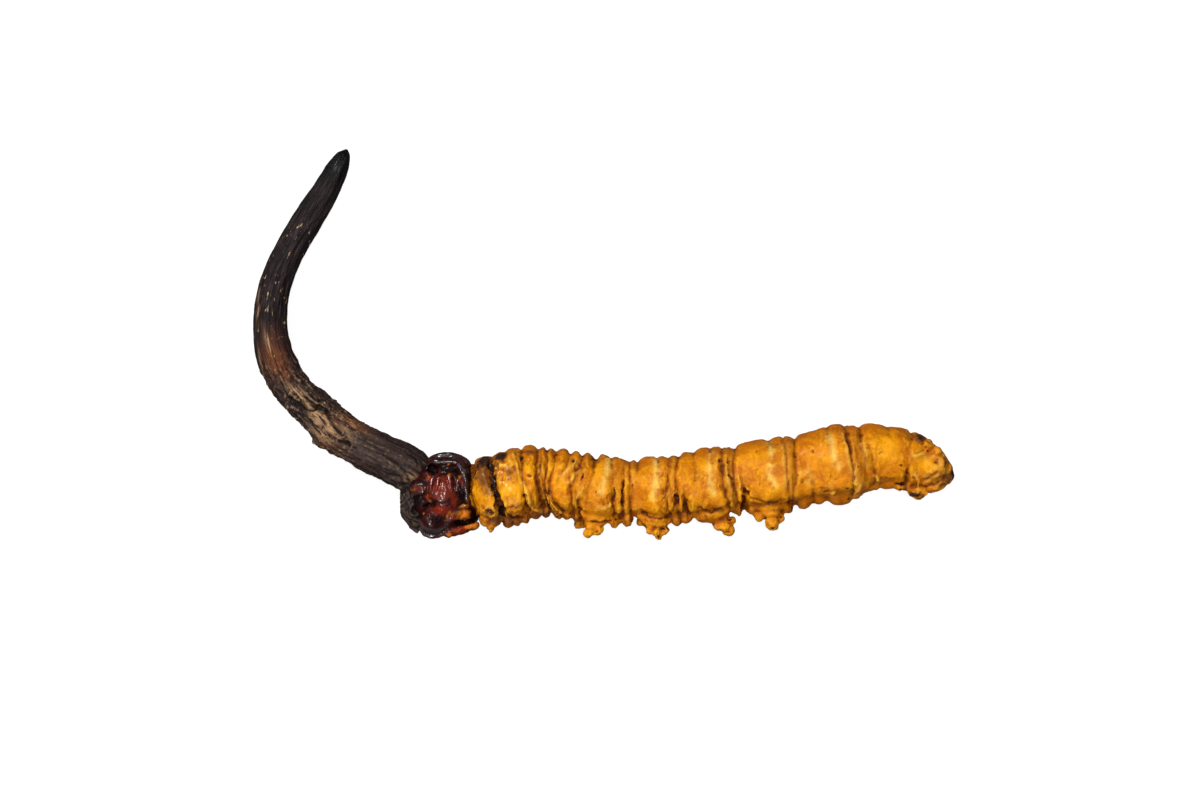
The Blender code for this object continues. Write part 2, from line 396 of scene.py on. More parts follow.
body = {
    "voxel": 0.105,
    "flatness": 0.92,  # height of the section over its width
    "sink": 0.14,      # how far the resting side is pressed flat
    "creaseWidth": 0.085,
    # the far legs: how much nearer the head and the back they stand, and the height they mirror across
    "farLegs": (0.7, 0.6, 2.45),
    # centreline: x, y, half width, lift off the table
    "line": [
        (-10.1, -11.25, 1.6, 0.75), (-9.6, -11.1, 2.25, 0.35), (-8.6, -10.95, 2.68, 0.2),
        (-7.0, -10.8, 2.88, 0.05), (-5.5, -10.38, 2.88, 0.0), (-3.5, -10.4, 2.62, 0.0),
        (-1.7, -10.68, 2.72, 0.0), (0.0, -10.95, 2.74, 0.0), (2.2, -11.0, 2.42, 0.0),
        (3.8, -11.0, 2.64, 0.0), (5.2, -10.95, 2.68, 0.0), (7.5, -10.58, 2.78, 0.0),
        (9.4, -10.4, 2.86, 0.0), (10.3, -10.2, 2.74, 0.0), (12.2, -9.95, 2.92, 0.0),
        (13.8, -9.8, 2.92, 0.0), (15.0, -9.55, 2.8, 0.0), (17.2, -9.05, 2.98, 0.0),
        (18.6, -8.87, 2.94, 0.05), (19.5, -8.62, 2.66, 0.1), (20.8, -8.42, 2.48, 0.15),
        (22.2, -8.6, 2.38, 0.2), (23.4, -8.95, 2.16, 0.25), (24.5, -9.28, 1.78, 0.5),
        (25.3, -9.55, 1.32, 0.9), (25.9, -9.75, 0.78, 1.4), (26.14, -9.84, 0.3, 1.7),
    ],
    # how far the trunk draws in on the belly side, so that the hips stand out of it: x, amount
    "tuck": [(-10, 0.3), (-6, 0.32), (-3, 0.4), (-1, 0.62), (14, 0.62), (16, 0.5), (19.5, 0.4), (24, 0.2)],
    # creases between the folds: x at five places from the back to the belly, the depth at the
    # same places, and how far its rounded shoulders reach
    "creases": [
        ((-9.75, -9.85, -9.85, -9.65, -9.3), (0.3, 0.3, 0.3, 0.3, 0.3), 0.25),
        ((-8.3, -8.42, -8.05, -7.75, -7.4), (0.26, 0.42, 0.42, 0.62, 0.75), 0.32),
        ((-7.42, -7.5, -7.5, -7.5, -7.5), (0.14, 0.06, 0.0, 0.0, 0.0), 0.24),
        ((-6.55, -6.58, -6.25, -6.1, -6.0), (0.2, 0.16, 0.06, 0.0, 0.0), 0.18),
        ((-6.18, -6.08, -5.98, -5.75, -5.6), (0.32, 0.3, 0.24, 0.4, 0.45), 0.3),
        ((-4.9, -5.0, -4.84, -4.62, -4.5), (0.3, 0.32, 0.36, 0.52, 0.42), 0.27),
        ((-4.62, -4.72, -4.55, -4.45, -4.4), (0.12, 0.24, 0.2, 0.0, 0.0), 0.14),
        ((-4.18, -4.24, -4.38, -4.22, -4.0), (0.3, 0.32, 0.38, 0.5, 0.36), 0.24),
        ((-3.55, -3.72, -4.0, -3.72, -3.0), (0.36, 0.26, 0.26, 0.3, 0.28), 0.32),
        ((-2.45, -2.85, -3.45, -3.6, -3.7), (0.38, 0.18, 0.06, 0.0, 0.0), 0.3),
        ((-2.5, -2.5, -2.45, -2.38, -2.2), (0.0, 0.06, 0.3, 0.44, 0.38), 0.28),
        ((-1.55, -1.92, -2.32, -2.4, -2.4), (0.34, 0.3, 0.18, 0.0, 0.0), 0.28),
        ((-2.0, -2.0, -2.0, -1.9, -1.72), (0.0, 0.0, 0.02, 0.34, 0.45), 0.24),
        ((-0.55, -0.74, -1.16, -1.3, -1.4), (0.42, 0.16, 0.12, 0.04, 0.0), 0.36),
        ((0.55, 0.68, 0.62, 0.74, 0.76), (0.24, 0.12, 0.18, 0.36, 0.24), 0.24),
        ((1.58, 1.52, 1.47, 1.42, 1.36), (0.08, 0.14, 0.32, 0.3, 0.2), 0.18),
        ((1.95, 1.98, 2.02, 1.98, 2.05), (0.24, 0.14, 0.1, 0.3, 0.42), 0.22),
        ((2.56, 2.56, 2.6, 2.6, 2.6), (0.3, 0.06, 0.0, 0.0, 0.0), 0.3),
        ((4.02, 4.14, 4.05, 4.05, 4.05), (0.18, 0.07, 0.05, 0.0, 0.0), 0.18),
        ((4.83, 4.82, 4.66, 4.82, 5.2), (0.16, 0.14, 0.2, 0.24, 0.3), 0.2),
        ((5.64, 5.36, 5.46, 5.52, 5.8), (0.28, 0.22, 0.22, 0.42, 0.36), 0.22),
        ((6.0, 6.0, 6.0, 6.12, 6.32), (0.0, 0.0, 0.0, 0.55, 0.5), 0.34),
        ((6.72, 6.84, 6.86, 6.9, 6.9), (0.18, 0.12, 0.07, 0.0, 0.0), 0.34),
        ((8.02, 8.14, 8.08, 8.2, 8.2), (0.18, 0.06, 0.06, 0.0, 0.0), 0.16),
        ((8.87, 8.8, 8.92, 9.22, 9.55), (0.24, 0.3, 0.28, 0.28, 0.22), 0.22),
        ((9.4, 9.3, 9.45, 9.58, 9.7), (0.0, 0.16, 0.18, 0.08, 0.0), 0.15),
        ((9.82, 9.67, 9.74, 9.98, 10.38), (0.32, 0.26, 0.32, 0.58, 0.95), 0.26),
        ((10.2, 10.2, 10.4, 10.58, 10.6), (0.0, 0.0, 0.12, 0.5, 0.6), 0.28),
        ((12.32, 12.7, 12.6, 12.6, 12.6), (0.16, 0.06, 0.0, 0.0, 0.0), 0.26),
        ((13.42, 13.54, 13.62, 13.76, 13.96), (0.14, 0.24, 0.22, 0.22, 0.36), 0.16),
        ((14.3, 14.2, 14.32, 14.1, 14.2), (0.3, 0.18, 0.18, 0.2, 0.3), 0.22),
        ((15.2, 15.2, 15.4, 15.65, 15.75), (0.0, 0.0, 0.06, 0.2, 0.28), 0.22),
        ((16.7, 16.95, 17.0, 17.0, 17.0), (0.14, 0.08, 0.0, 0.0, 0.0), 0.26),
        ((18.02, 18.28, 18.45, 18.6, 18.6), (0.18, 0.36, 0.36, 0.26, 0.12), 0.18),
        ((19.12, 19.24, 19.46, 19.5, 19.5), (0.26, 0.2, 0.2, 0.1, 0.08), 0.22),
        ((19.5, 19.72, 20.02, 20.2, 20.3), (0.0, 0.1, 0.14, 0.14, 0.1), 0.18),
        ((21.3, 21.5, 21.6, 21.6, 21.6), (0.12, 0.03, 0.0, 0.0, 0.0), 0.3),
        ((23.16, 22.86, 22.64, 22.62, 22.56), (0.3, 0.1, 0.14, 0.3, 0.4), 0.24),
    ],
}
foldRows = (1.0, 0.5, 0.0, -0.5, -1.0)
foldLines = [(smoothLine(np.column_stack([foldRows, places, depths]), 8)[::-1], width)
             for places, depths, width in body["creases"]]

spine = smoothLine(body["line"])
spineSlope = np.gradient(spine[:, 1], spine[:, 0])


def spineAt(x):
    y, half, lift = (np.interp(x, spine[:, 0], spine[:, k]) for k in (1, 2, 3))
    return y, half, half * body["flatness"] - body["sink"] + lift, np.interp(x, spine[:, 0], spineSlope)


def foldRelief(x, side):
    # height of the skin by the creases, and how much of a crease each place is; x is seen from
    # above, side is 1 at the back and -1 at the belly
    # inCrease later sets the painted shade in the creases
    relief, inCrease = np.zeros_like(side), np.zeros_like(side)
    for line, width in foldLines:
        away = np.abs(x - np.interp(side, line[:, 0], line[:, 1]))
        depth = np.maximum(np.interp(side, line[:, 0], line[:, 2]), 0)
        near = 1 - np.clip(away / (1.5 * width), 0, 1)
        relief = np.minimum(relief, -1.25 * depth * near**1.5)
        inCrease = np.maximum(inCrease, np.exp(-(away / body["creaseWidth"]) ** 2) * np.minimum(depth / 0.3,
            1.0))
    return relief, inCrease


def foldWobble(station, side, up):
    return 0.09 * grit(np.column_stack([station, 2.6 * side, 2.6 * up]), 0.9, 2, seed=2.0)


def trunk():
    stations = np.append(np.arange(spine[0, 0], spine[-1, 0], 0.055), spine[-1, 0])
    y, half, z, slope = spineAt(stations)
    lean = np.arctan(slope)
    tuck = np.interp(stations, *zip(*body["tuck"]))
    sides = 240
    angles = np.arange(sides) * 2 * math.pi / sides
    side, up = np.cos(angles), np.sin(angles)
    rings = []
    for i, station in enumerate(stations):
        seen = station - half[i] * side * math.sin(lean[i])
        relief = foldRelief(seen + foldWobble(np.full(sides, station), side, up), side)[0]
        drawn = tuck[i] * ramp(-side, 0.52, 0.95)
        reach = half[i] + (relief - drawn) * min(1.0, half[i] / 1.8)
        across = reach * side
        rings.append(np.column_stack([station - across * math.sin(lean[i]),
                                      y[i] + across * math.cos(lean[i]),
                                      z[i] + body["flatness"] * reach * up]))
    return skin(rings)


def trunkPlace(points):
    # each point's station along the body, its side (1 back, -1 belly) and its height (1 top)
    x = points[:, 0].copy()
    for _ in range(5):
        y, half, z, slope = spineAt(x)
        x += ((points[:, 0] - x) + (points[:, 1] - y) * slope) / (1 + slope**2)
        x = np.clip(x, spine[0, 0], spine[-1, 0])
    y, half, z, slope = spineAt(x)
    lean = np.arctan(slope)
    across = (points[:, 1] - y) * np.cos(lean) - (points[:, 0] - x) * np.sin(lean)
    above = (points[:, 2] - z) / body["flatness"]
    reach = np.maximum(np.hypot(across, above), 1e-6)
    return x, across / reach, above / reach, reach


def laid(rows, sunk):
    # a ridge lying on the trunk: rows of x, y, half width; sunk by that share of its half width
    rows = np.array(rows, float)
    flat = np.column_stack([rows[:, :2], np.zeros(len(rows))])
    station = trunkPlace(flat)[0]
    y, half, z, slope = spineAt(station)
    across = np.clip((rows[:, 1] - y) / half, -0.96, 0.96)
    top = z + body["flatness"] * half * np.sqrt(1 - across**2)
    return np.column_stack([rows[:, :2], top - sunk * rows[:, 2], rows[:, 2]])


# Lobes on the belly side: x, y, z, half sizes, turn. The near prolegs come first.
bellyLobes = [
    # first proleg: hip, bulbs, the bumps beside it
    (-0.45, -12.85, 2.95, 1.2, 0.72, 1.05, -4), (-0.95, -13.48, 3.15, 0.58, 0.36, 0.55, 8),
    (-1.1, -14.08, 3.25, 0.42, 0.36, 0.46, 0), (-0.38, -13.86, 3.25, 0.46, 0.46, 0.5, 0),
    (0.78, -13.16, 2.75, 0.48, 0.66, 0.75, 0), (1.75, -12.96, 2.7, 0.42, 0.68, 0.75, 0),
    # second
    (3.95, -12.9, 2.9, 1.3, 0.75, 1.05, 0), (3.52, -13.92, 3.05, 0.36, 0.34, 0.5, -30),
    (4.62, -13.95, 3.05, 0.42, 0.36, 0.5, 30), (4.0, -14.1, 3.35, 0.36, 0.34, 0.42, 0),
    (4.14, -14.4, 3.15, 0.24, 0.28, 0.34, 0), (5.42, -12.96, 2.65, 0.42, 0.68, 0.8, 10),
    (6.22, -12.76, 2.6, 0.46, 0.64, 0.7, 10),
    # third
    (8.1, -12.45, 2.95, 1.5, 0.8, 1.05, 6), (7.85, -13.02, 2.7, 0.9, 0.42, 0.8, -6),
    (9.1, -13.55, 3.25, 0.56, 0.46, 0.55, 0), (8.55, -13.66, 3.0, 0.34, 0.32, 0.42, 0),
    (9.3, -13.98, 3.05, 0.48, 0.32, 0.46, 0), (9.62, -13.12, 3.1, 0.32, 0.3, 0.4, 0),
    (10.15, -12.2, 2.6, 0.34, 0.66, 0.7, 0),
    # fourth
    (12.55, -11.92, 2.95, 1.45, 0.7, 1.05, 4), (11.2, -12.2, 2.7, 0.44, 0.6, 0.75, -20),
    (11.72, -12.75, 2.75, 0.44, 0.5, 0.7, -35), (12.66, -13.28, 3.25, 0.52, 0.46, 0.55, 0),
    (12.7, -13.6, 3.1, 0.36, 0.26, 0.4, 0), (13.26, -12.98, 3.05, 0.32, 0.42, 0.4, 0),
    (13.8, -12.15, 2.85, 0.48, 0.56, 0.7, 20),
    # the belly behind them
    (15.0, -11.62, 2.7, 0.7, 0.74, 0.95, 0), (16.15, -11.4, 2.7, 0.64, 0.64, 0.95, 0),
    (17.65, -11.3, 2.75, 1.05, 0.74, 1.05, 6), (18.9, -10.95, 2.65, 0.62, 0.64, 0.85, 12),
    (19.85, -10.45, 2.6, 0.5, 0.56, 0.8, 10), (20.4, -10.45, 2.6, 0.32, 0.42, 0.6, 0),
    (21.45, -10.32, 2.65, 0.85, 0.54, 0.8, 0), (22.2, -10.66, 2.9, 0.38, 0.4, 0.44, 0),
    # anal proleg
    (23.2, -11.1, 2.95, 0.46, 0.34, 0.55, -10), (23.62, -11.42, 2.85, 0.3, 0.28, 0.42, 0),
    (23.95, -11.05, 2.85, 0.34, 0.36, 0.5, 0), (23.5, -10.85, 2.6, 0.6, 0.46, 0.8, 0),
    (22.7, -10.5, 2.5, 0.5, 0.5, 0.85, 0),
    # nodules that the thoracic legs stand on
    (-8.85, -13.05, 2.9, 0.44, 0.56, 0.7, 0), (-8.1, -13.08, 2.9, 0.4, 0.6, 0.7, 0),
    (-7.15, -13.1, 2.95, 0.48, 0.62, 0.8, 0), (-6.45, -13.0, 2.95, 0.44, 0.6, 0.8, 0),
    (-5.8, -12.9, 2.8, 0.32, 0.56, 0.65, 0), (-5.1, -12.55, 2.7, 0.44, 0.54, 0.7, 0),
    (-4.3, -12.38, 2.7, 0.4, 0.54, 0.7, 0), (-3.45, -12.56, 2.6, 0.36, 0.54, 0.7, 20),
    (-2.7, -12.66, 2.6, 0.38, 0.56, 0.7, 0), (-2.05, -12.85, 2.6, 0.32, 0.56, 0.7, 0),
]
tailLobes = [
    (23.62, -7.02, 3.62, 0.38, 0.34, 0.4, 0), (24.3, -7.4, 3.45, 0.4, 0.32, 0.4, -25),
    (24.92, -7.92, 3.25, 0.4, 0.32, 0.42, -45), (25.32, -8.4, 3.0, 0.4, 0.32, 0.46, -65),
    (25.68, -9.28, 2.75, 0.46, 0.46, 0.6, 0), (25.82, -9.9, 2.55, 0.46, 0.56, 0.62, -20),
    (25.2, -10.2, 2.7, 0.8, 0.5, 0.8, 20),
    (24.95, -10.62, 2.5, 0.9, 0.42, 0.8, 22), (24.7, -9.1, 3.2, 1.0, 1.0, 0.95, 0),
]
bellyStrands = [
    # the stubs of the thoracic legs, near side and far side
    [(-8.52, -13.2, 2.9, 0.28), (-8.42, -13.6, 3.0, 0.24), (-8.38, -13.94, 3.05, 0.2)],
    [(-8.6, -13.0, 1.5, 0.28), (-8.55, -13.5, 1.4, 0.25), (-8.5, -13.8, 1.35, 0.2)],
    [(-7.3, -12.9, 1.6, 0.3), (-7.25, -13.1, 1.5, 0.26), (-7.2, -13.3, 1.45, 0.2)],
    [(-6.0, -12.7, 1.6, 0.3), (-5.95, -12.9, 1.5, 0.26), (-5.9, -13.1, 1.45, 0.2)],
    # rolls of skin over the hips
    [(-1.6, -12.45, 3.55, 0.24), (-1.05, -12.86, 3.55, 0.27), (-0.3, -12.98, 3.5, 0.24),
     (0.4, -12.9, 3.4, 0.18)],
    [(2.7, -12.72, 3.2, 0.26), (3.3, -13.2, 3.3, 0.34), (4.0, -13.4, 3.38, 0.38), (4.6, -13.28, 3.35, 0.36),
     (5.08, -12.92, 3.25, 0.28)],
    [(7.1, -12.5, 3.4, 0.22), (7.9, -12.78, 3.45, 0.3), (8.7, -12.66, 3.55, 0.34), (9.4, -12.26, 3.55, 0.3),
     (9.85, -11.86, 3.45, 0.22)],
    [(8.2, -13.05, 3.1, 0.24), (8.7, -13.15, 3.2, 0.28), (9.2, -13.0, 3.2, 0.24)],
    [(11.1, -11.66, 3.45, 0.22), (11.9, -12.02, 3.6, 0.24), (12.8, -12.14, 3.7, 0.24),
     (13.6, -11.94, 3.55, 0.2)],
    [(11.98, -12.5, 3.45, 0.22), (12.55, -12.66, 3.55, 0.26), (13.12, -12.52, 3.45, 0.22)],
]
# Ridges that lie on the trunk: x, y, half width, and how deep they are sunk
ridges = [
    ([(-8.86, -12.45, 0.14), (-8.6, -12.14, 0.17), (-8.22, -12.24, 0.17), (-8.1, -12.62, 0.15),
      (-8.42, -12.86, 0.12)], 0.4),
    ([(-8.02, -8.95, 0.14), (-7.62, -9.06, 0.2), (-7.2, -8.96, 0.15)], 0.2),
    ([(-7.05, -8.58, 0.1), (-6.74, -8.84, 0.14), (-6.98, -9.16, 0.11)], 0.2),
    ([(-7.3, -11.95, 0.26), (-6.85, -11.8, 0.38), (-6.4, -12.0, 0.26)], 0.75),
    ([(-6.78, -8.05, 0.14), (-6.56, -8.5, 0.14), (-6.42, -9.1, 0.14), (-6.28, -9.7, 0.1)], 0.2),
    ([(-5.98, -10.2, 0.1), (-5.75, -10.9, 0.12), (-5.56, -11.7, 0.14), (-5.25, -12.3, 0.16),
      (-4.65, -12.5, 0.12)], 0.2),
    ([(-4.28, -11.1, 0.1), (-4.02, -11.75, 0.15), (-3.62, -12.3, 0.16), (-3.1, -12.6, 0.12)], 0.1),
    ([(-2.05, -8.75, 0.13), (-2.55, -9.25, 0.15), (-3.1, -9.8, 0.11)], 0.3),
    ([(-1.78, -9.2, 0.12), (-2.15, -9.7, 0.14), (-2.48, -10.3, 0.1)], 0.2),
    ([(-1.5, -10.7, 0.1), (-1.85, -11.2, 0.14), (-2.12, -11.65, 0.12)], 0.2),
    ([(-0.5, -12.1, 0.12), (0.1, -12.2, 0.16), (0.55, -11.9, 0.1)], 0.5),
    ([(9.05, -8.95, 0.1), (9.16, -9.6, 0.14), (9.36, -10.4, 0.14), (9.62, -11.2, 0.1)], 0.3),
    ([(10.08, -9.8, 0.08), (10.12, -10.2, 0.13), (10.14, -10.7, 0.08)], 0.2),
    ([(14.75, -9.62, 0.12), (15.2, -9.5, 0.16), (15.45, -9.9, 0.16), (15.3, -10.4, 0.1)], 0.9),
    ([(16.9, -10.62, 0.12), (17.1, -10.95, 0.16), (17.0, -11.2, 0.1)], 0.8),
    ([(18.62, -9.5, 0.08), (18.66, -10.05, 0.1), (18.8, -10.35, 0.16), (19.05, -10.55, 0.18),
      (18.85, -10.95, 0.16),
      (18.6, -11.25, 0.12)], 0.1),
    ([(20.16, -9.72, 0.12), (20.42, -9.95, 0.17), (20.5, -10.2, 0.12)], 0.1),
    ([(23.1, -8.35, 0.12), (23.6, -8.22, 0.15), (24.0, -8.05, 0.1)], 0.3),
    ([(24.1, -8.5, 0.13), (24.55, -8.18, 0.17), (25.05, -8.28, 0.17), (25.22, -8.75, 0.17),
      (24.95, -9.2, 0.18),
      (24.4, -9.62, 0.18), (23.9, -9.88, 0.12)], 0.75),
    ([(25.62, -9.42, 0.12), (25.1, -9.72, 0.17), (24.5, -10.05, 0.17), (24.0, -10.32, 0.12)], 0.6),
    ([(25.75, -10.35, 0.12), (25.3, -10.42, 0.13), (24.85, -10.52, 0.12)], 0.3),
    ([(23.25, -9.7, 0.12), (23.45, -10.2, 0.16), (23.5, -10.7, 0.12)], 0.3),
    # low crests down the middle of a segment
    ([(0.45, -8.55, 0.14), (0.3, -9.4, 0.16), (0.05, -10.3, 0.16), (-0.15, -11.0, 0.12)], 1.15),
    ([(3.88, -8.7, 0.14), (3.94, -9.6, 0.18), (3.86, -10.6, 0.18), (3.7, -11.4, 0.14)], 1.2),
    ([(8.0, -8.1, 0.14), (7.96, -9.0, 0.18), (7.88, -10.0, 0.18), (8.15, -11.1, 0.14)], 1.2),
    ([(12.45, -7.5, 0.14), (12.48, -8.4, 0.18), (12.32, -9.6, 0.18), (12.8, -10.4, 0.16)], 1.2),
    ([(16.8, -6.85, 0.14), (17.02, -7.6, 0.18), (17.12, -8.4, 0.18), (17.42, -9.1, 0.14)], 1.2),
    ([(13.36, -7.6, 0.1), (13.44, -8.6, 0.13), (13.48, -9.6, 0.13), (13.6, -10.6, 0.1)], 0.85),
    ([(17.86, -6.6, 0.1), (18.08, -7.6, 0.13), (18.26, -8.6, 0.13), (18.42, -9.4, 0.1)], 0.85),
    ([(19.3, -7.3, 0.1), (19.5, -8.2, 0.15), (19.62, -9.05, 0.16)], 0.8),
]

# Marks cut into the flank that faces up: path, depth, width; the deeper cuts are also darkened in colour:
# painted shade
flankGrooves = [
    ([(-8.48, -8.64), (-8.38, -9.4), (-8.26, -10.06), (-8.04, -11.1), (-7.82, -11.74), (-7.6, -12.45)],
     0.24, 0.13),
    ([(-7.6, -12.3), (-7.35, -12.75), (-6.6, -12.98), (-5.75, -12.92)], 0.22, 0.14),
    ([(-4.1, -11.6), (-3.85, -12.2), (-3.4, -12.7)], 0.26, 0.11),
    ([(-5.75, -11.3), (-5.72, -12.0), (-5.45, -12.6)], 0.2, 0.1),
    ([(0.74, -10.6), (0.8, -11.1), (0.74, -11.7)], 0.26, 0.08),
    ([(1.55, -10.1), (1.46, -10.6), (1.42, -11.6), (1.44, -12.1)], 0.26, 0.09),
    ([(-1.0, -13.16), (-0.2, -13.24), (0.6, -13.16)], 0.2, 0.08),
    ([(2.72, -12.3), (3.2, -12.76), (4.0, -13.0), (4.8, -12.8), (5.25, -12.36)], 0.16, 0.12),
    ([(6.85, -11.95), (7.4, -12.36), (8.2, -12.46), (9.2, -12.0), (9.8, -11.5)], 0.14, 0.12),
    ([(10.8, -11.36), (11.6, -11.66), (12.6, -11.84), (13.6, -11.62)], 0.16, 0.12),
    ([(5.44, -11.1), (5.46, -11.6), (5.58, -12.05)], 0.26, 0.08),
    ([(6.08, -11.6), (6.2, -12.2), (6.42, -12.8)], 0.16, 0.13),
    ([(10.42, -11.2), (10.46, -11.8), (10.48, -12.7)], 0.42, 0.11),
    ([(10.36, -10.6), (10.6, -11.0), (10.9, -11.1)], 0.22, 0.14),
    ([(8.66, -8.5), (8.78, -8.78)], 0.2, 0.1), ([(9.42, -8.6), (9.3, -8.84)], 0.2, 0.1),
    ([(9.3, -9.6), (9.5, -9.9), (9.62, -10.2)], 0.18, 0.08),
    ([(14.7, -9.95), (14.8, -10.35)], 0.05, 0.14),
    ([(15.9, -10.6), (16.6, -10.9), (17.6, -10.85)], 0.05, 0.12),
    ([(18.58, -9.6), (18.66, -10.3)], 0.1, 0.06),
    ([(20.6, -9.96), (21.4, -10.1), (22.5, -10.08)], 0.08, 0.12),
    ([(21.8, -10.42), (22.2, -10.46), (22.56, -10.4)], 0.26, 0.1),
    ([(23.15, -8.15), (23.55, -8.05), (23.95, -7.95)], 0.07, 0.12),
    ([(25.62, -8.92), (25.35, -9.3), (24.9, -9.62), (24.3, -9.92), (23.85, -10.18)], 0.1, 0.14),
    ([(25.6, -10.16), (24.9, -10.38), (24.4, -10.56)], 0.08, 0.12),
    ([(22.6, -9.2), (22.6, -10.1), (22.7, -10.9)], 0.08, 0.12),
    ([(23.1, -9.9), (23.32, -10.4), (23.4, -10.8)], 0.1, 0.12),
]
# Pits: x, y, half sizes, turn, depth, darkness; the darkness is painted shade in the pit, and partly the
# skin's own dark spots
pits = [
    (-1.52, -9.78, 0.1, 0.24, -20, 0.16, 0.9), (-2.3, -8.6, 0.22, 0.1, 20, 0.14, 0.8),
    (2.2, -10.48, 0.07, 0.12, -20, 0.1, 0.9), (1.48, -10.42, 0.1, 0.26, 0, 0.14, 1.0),
    (-0.55, -11.0, 0.07, 0.09, 0, 0.05, 0.6), (11.41, -7.92, 0.1, 0.08, 0, 0.1, 0.8),
    (11.41, -9.3, 0.09, 0.09, 0, 0.05, 0.6), (12.95, -7.35, 0.14, 0.06, 0, 0.05, 0.5),
    (15.52, -7.95, 0.13, 0.1, 0, 0.08, 0.6), (18.92, -9.14, 0.08, 0.06, 0, 0.08, 1.0),
    (20.64, -8.08, 0.09, 0.07, 0, 0.08, 0.8), (22.22, -9.02, 0.14, 0.09, 20, 0.1, 0.9),
    (22.18, -7.08, 0.06, 0.06, 0, 0.04, 0.6), (19.68, -7.74, 0.09, 0.06, 0, 0.04, 0.6),
    (24.12, -7.6, 0.1, 0.08, 0, 0.08, 0.9), (24.22, -7.99, 0.09, 0.08, 0, 0.1, 1.0),
    (24.5, -7.62, 0.1, 0.07, 0, 0.05, 0.6), (24.8, -8.72, 0.22, 0.28, -30, 0.12, 0.2),
    (18.16, -10.76, 0.12, 0.11, 0, 0.1, 0.9), (4.3, -9.75, 0.12, 0.08, 20, 0.05, 0.5),
    (16.5, -10.98, 0.14, 0.07, 30, 0.08, 0.7), (14.4, -9.78, 0.1, 0.08, 0, 0.04, 0.3),
    (9.4, -9.78, 0.08, 0.12, 20, 0.12, 0.7), (3.45, -10.35, 0.1, 0.06, 0, 0.04, 0.4),
    (-8.48, -12.56, 0.3, 0.16, -8, 0.26, 0.6), (-7.56, -12.2, 0.2, 0.42, 10, 0.4, 1.0),
    (-5.82, -11.28, 0.18, 0.1, -20, 0.2, 1.0), (-4.4, -11.66, 0.15, 0.38, 8, 0.25, 1.0),
    (-4.02, -10.95, 0.07, 0.22, 0, 0.12, 0.9), (-4.74, -9.68, 0.07, 0.1, 0, 0.08, 0.9),
    (-5.45, -9.78, 0.16, 0.12, -30, 0.12, 0.5), (-8.52, -8.95, 0.16, 0.22, 0, 0.2, 1.0),
    (-0.55, -14.0, 0.13, 0.11, 0, 0.12, 0.9), (-1.36, -13.52, 0.16, 0.1, -30, 0.2, 0.9),
    (1.02, -13.04, 0.14, 0.12, 0, 0.16, 0.9), (4.14, -14.44, 0.14, 0.14, 0, 0.08, 1.0),
    (4.52, -13.84, 0.18, 0.1, 0, 0.14, 0.8), (9.28, -14.06, 0.2, 0.08, 0, 0.06, 0.7),
    (9.5, -12.98, 0.16, 0.1, 0, 0.16, 0.9), (12.68, -13.66, 0.16, 0.08, 0, 0.12, 1.0),
    (13.26, -12.94, 0.1, 0.12, 0, 0.12, 1.0), (12.22, -13.02, 0.18, 0.07, 30, 0.12, 0.8),
    (14.22, -12.22, 0.14, 0.1, -20, 0.1, 0.8), (-6.75, -13.3, 0.09, 0.14, 0, 0.1, 0.7),
    (-7.56, -13.3, 0.07, 0.14, 0, 0.12, 0.7), (2.86, -11.6, 0.3, 0.3, 0, 0.08, 0.0),
    (10.5, -11.0, 0.12, 0.1, 0, 0.06, 0.5), (6.14, -12.24, 0.08, 0.16, 10, 0.06, 0.6),
]

# Coloured patches: x, y, half sizes, turn, strength
# the skin's own black marks, and black painted into the crack between the first segments, deep pits and
# grooves: painted shade
blackPatches = [
    (-8.86, -8.66, 0.6, 0.66, 10, 0.95), (-7.66, -8.4, 0.6, 0.34, 12, 1.0),
    (-8.32, -9.3, 0.18, 0.6, 4, 1.0), (-9.55, -9.6, 0.14, 0.5, 0, 0.7), (-8.5, -9.05, 0.22, 0.26, 0, 0.9),
    (-9.35, -9.1, 0.18, 0.4, 0, 0.7), (-6.06, -8.46, 0.13, 0.3, 0, 0.75),
    (-8.2, -10.2, 0.18, 0.7, -10, 1.0), (-7.58, -12.45, 0.28, 0.5, 10, 1.1),
    (-7.95, -11.4, 0.15, 0.5, -12, 0.9), (-8.6, -12.95, 0.5, 0.12, 0, 0.5),
    (-7.92, -11.2, 0.16, 0.4, -10, 0.8), (-6.35, -8.0, 0.12, 0.08, 0, 0.7),
    (23.62, -6.98, 0.38, 0.34, 0, 0.75), (24.36, -7.3, 0.16, 0.12, 0, 0.4),
    (25.58, -8.86, 0.14, 0.1, 20, 0.8),
    (26.2, -9.8, 0.24, 0.42, 10, 1.0), (25.86, -10.25, 0.16, 0.12, 40, 0.6),
    (23.2, -11.2, 0.46, 0.28, -10, 1.1), (22.2, -10.44, 0.38, 0.11, 0, 1.0),
    (22.25, -10.86, 0.26, 0.14, 0, 0.7),
    (23.4, -10.4, 0.14, 0.3, 14, 0.5), (23.6, -11.56, 0.22, 0.14, 0, 0.7),
    (18.24, -11.55, 0.1, 0.12, 0, 0.8),
    (-9.35, -12.9, 0.3, 0.5, 0, 0.8), (-3.55, -12.92, 0.24, 0.14, -30, 0.7),
    (22.64, -9.6, 0.1, 0.14, 0, 0.8),
]
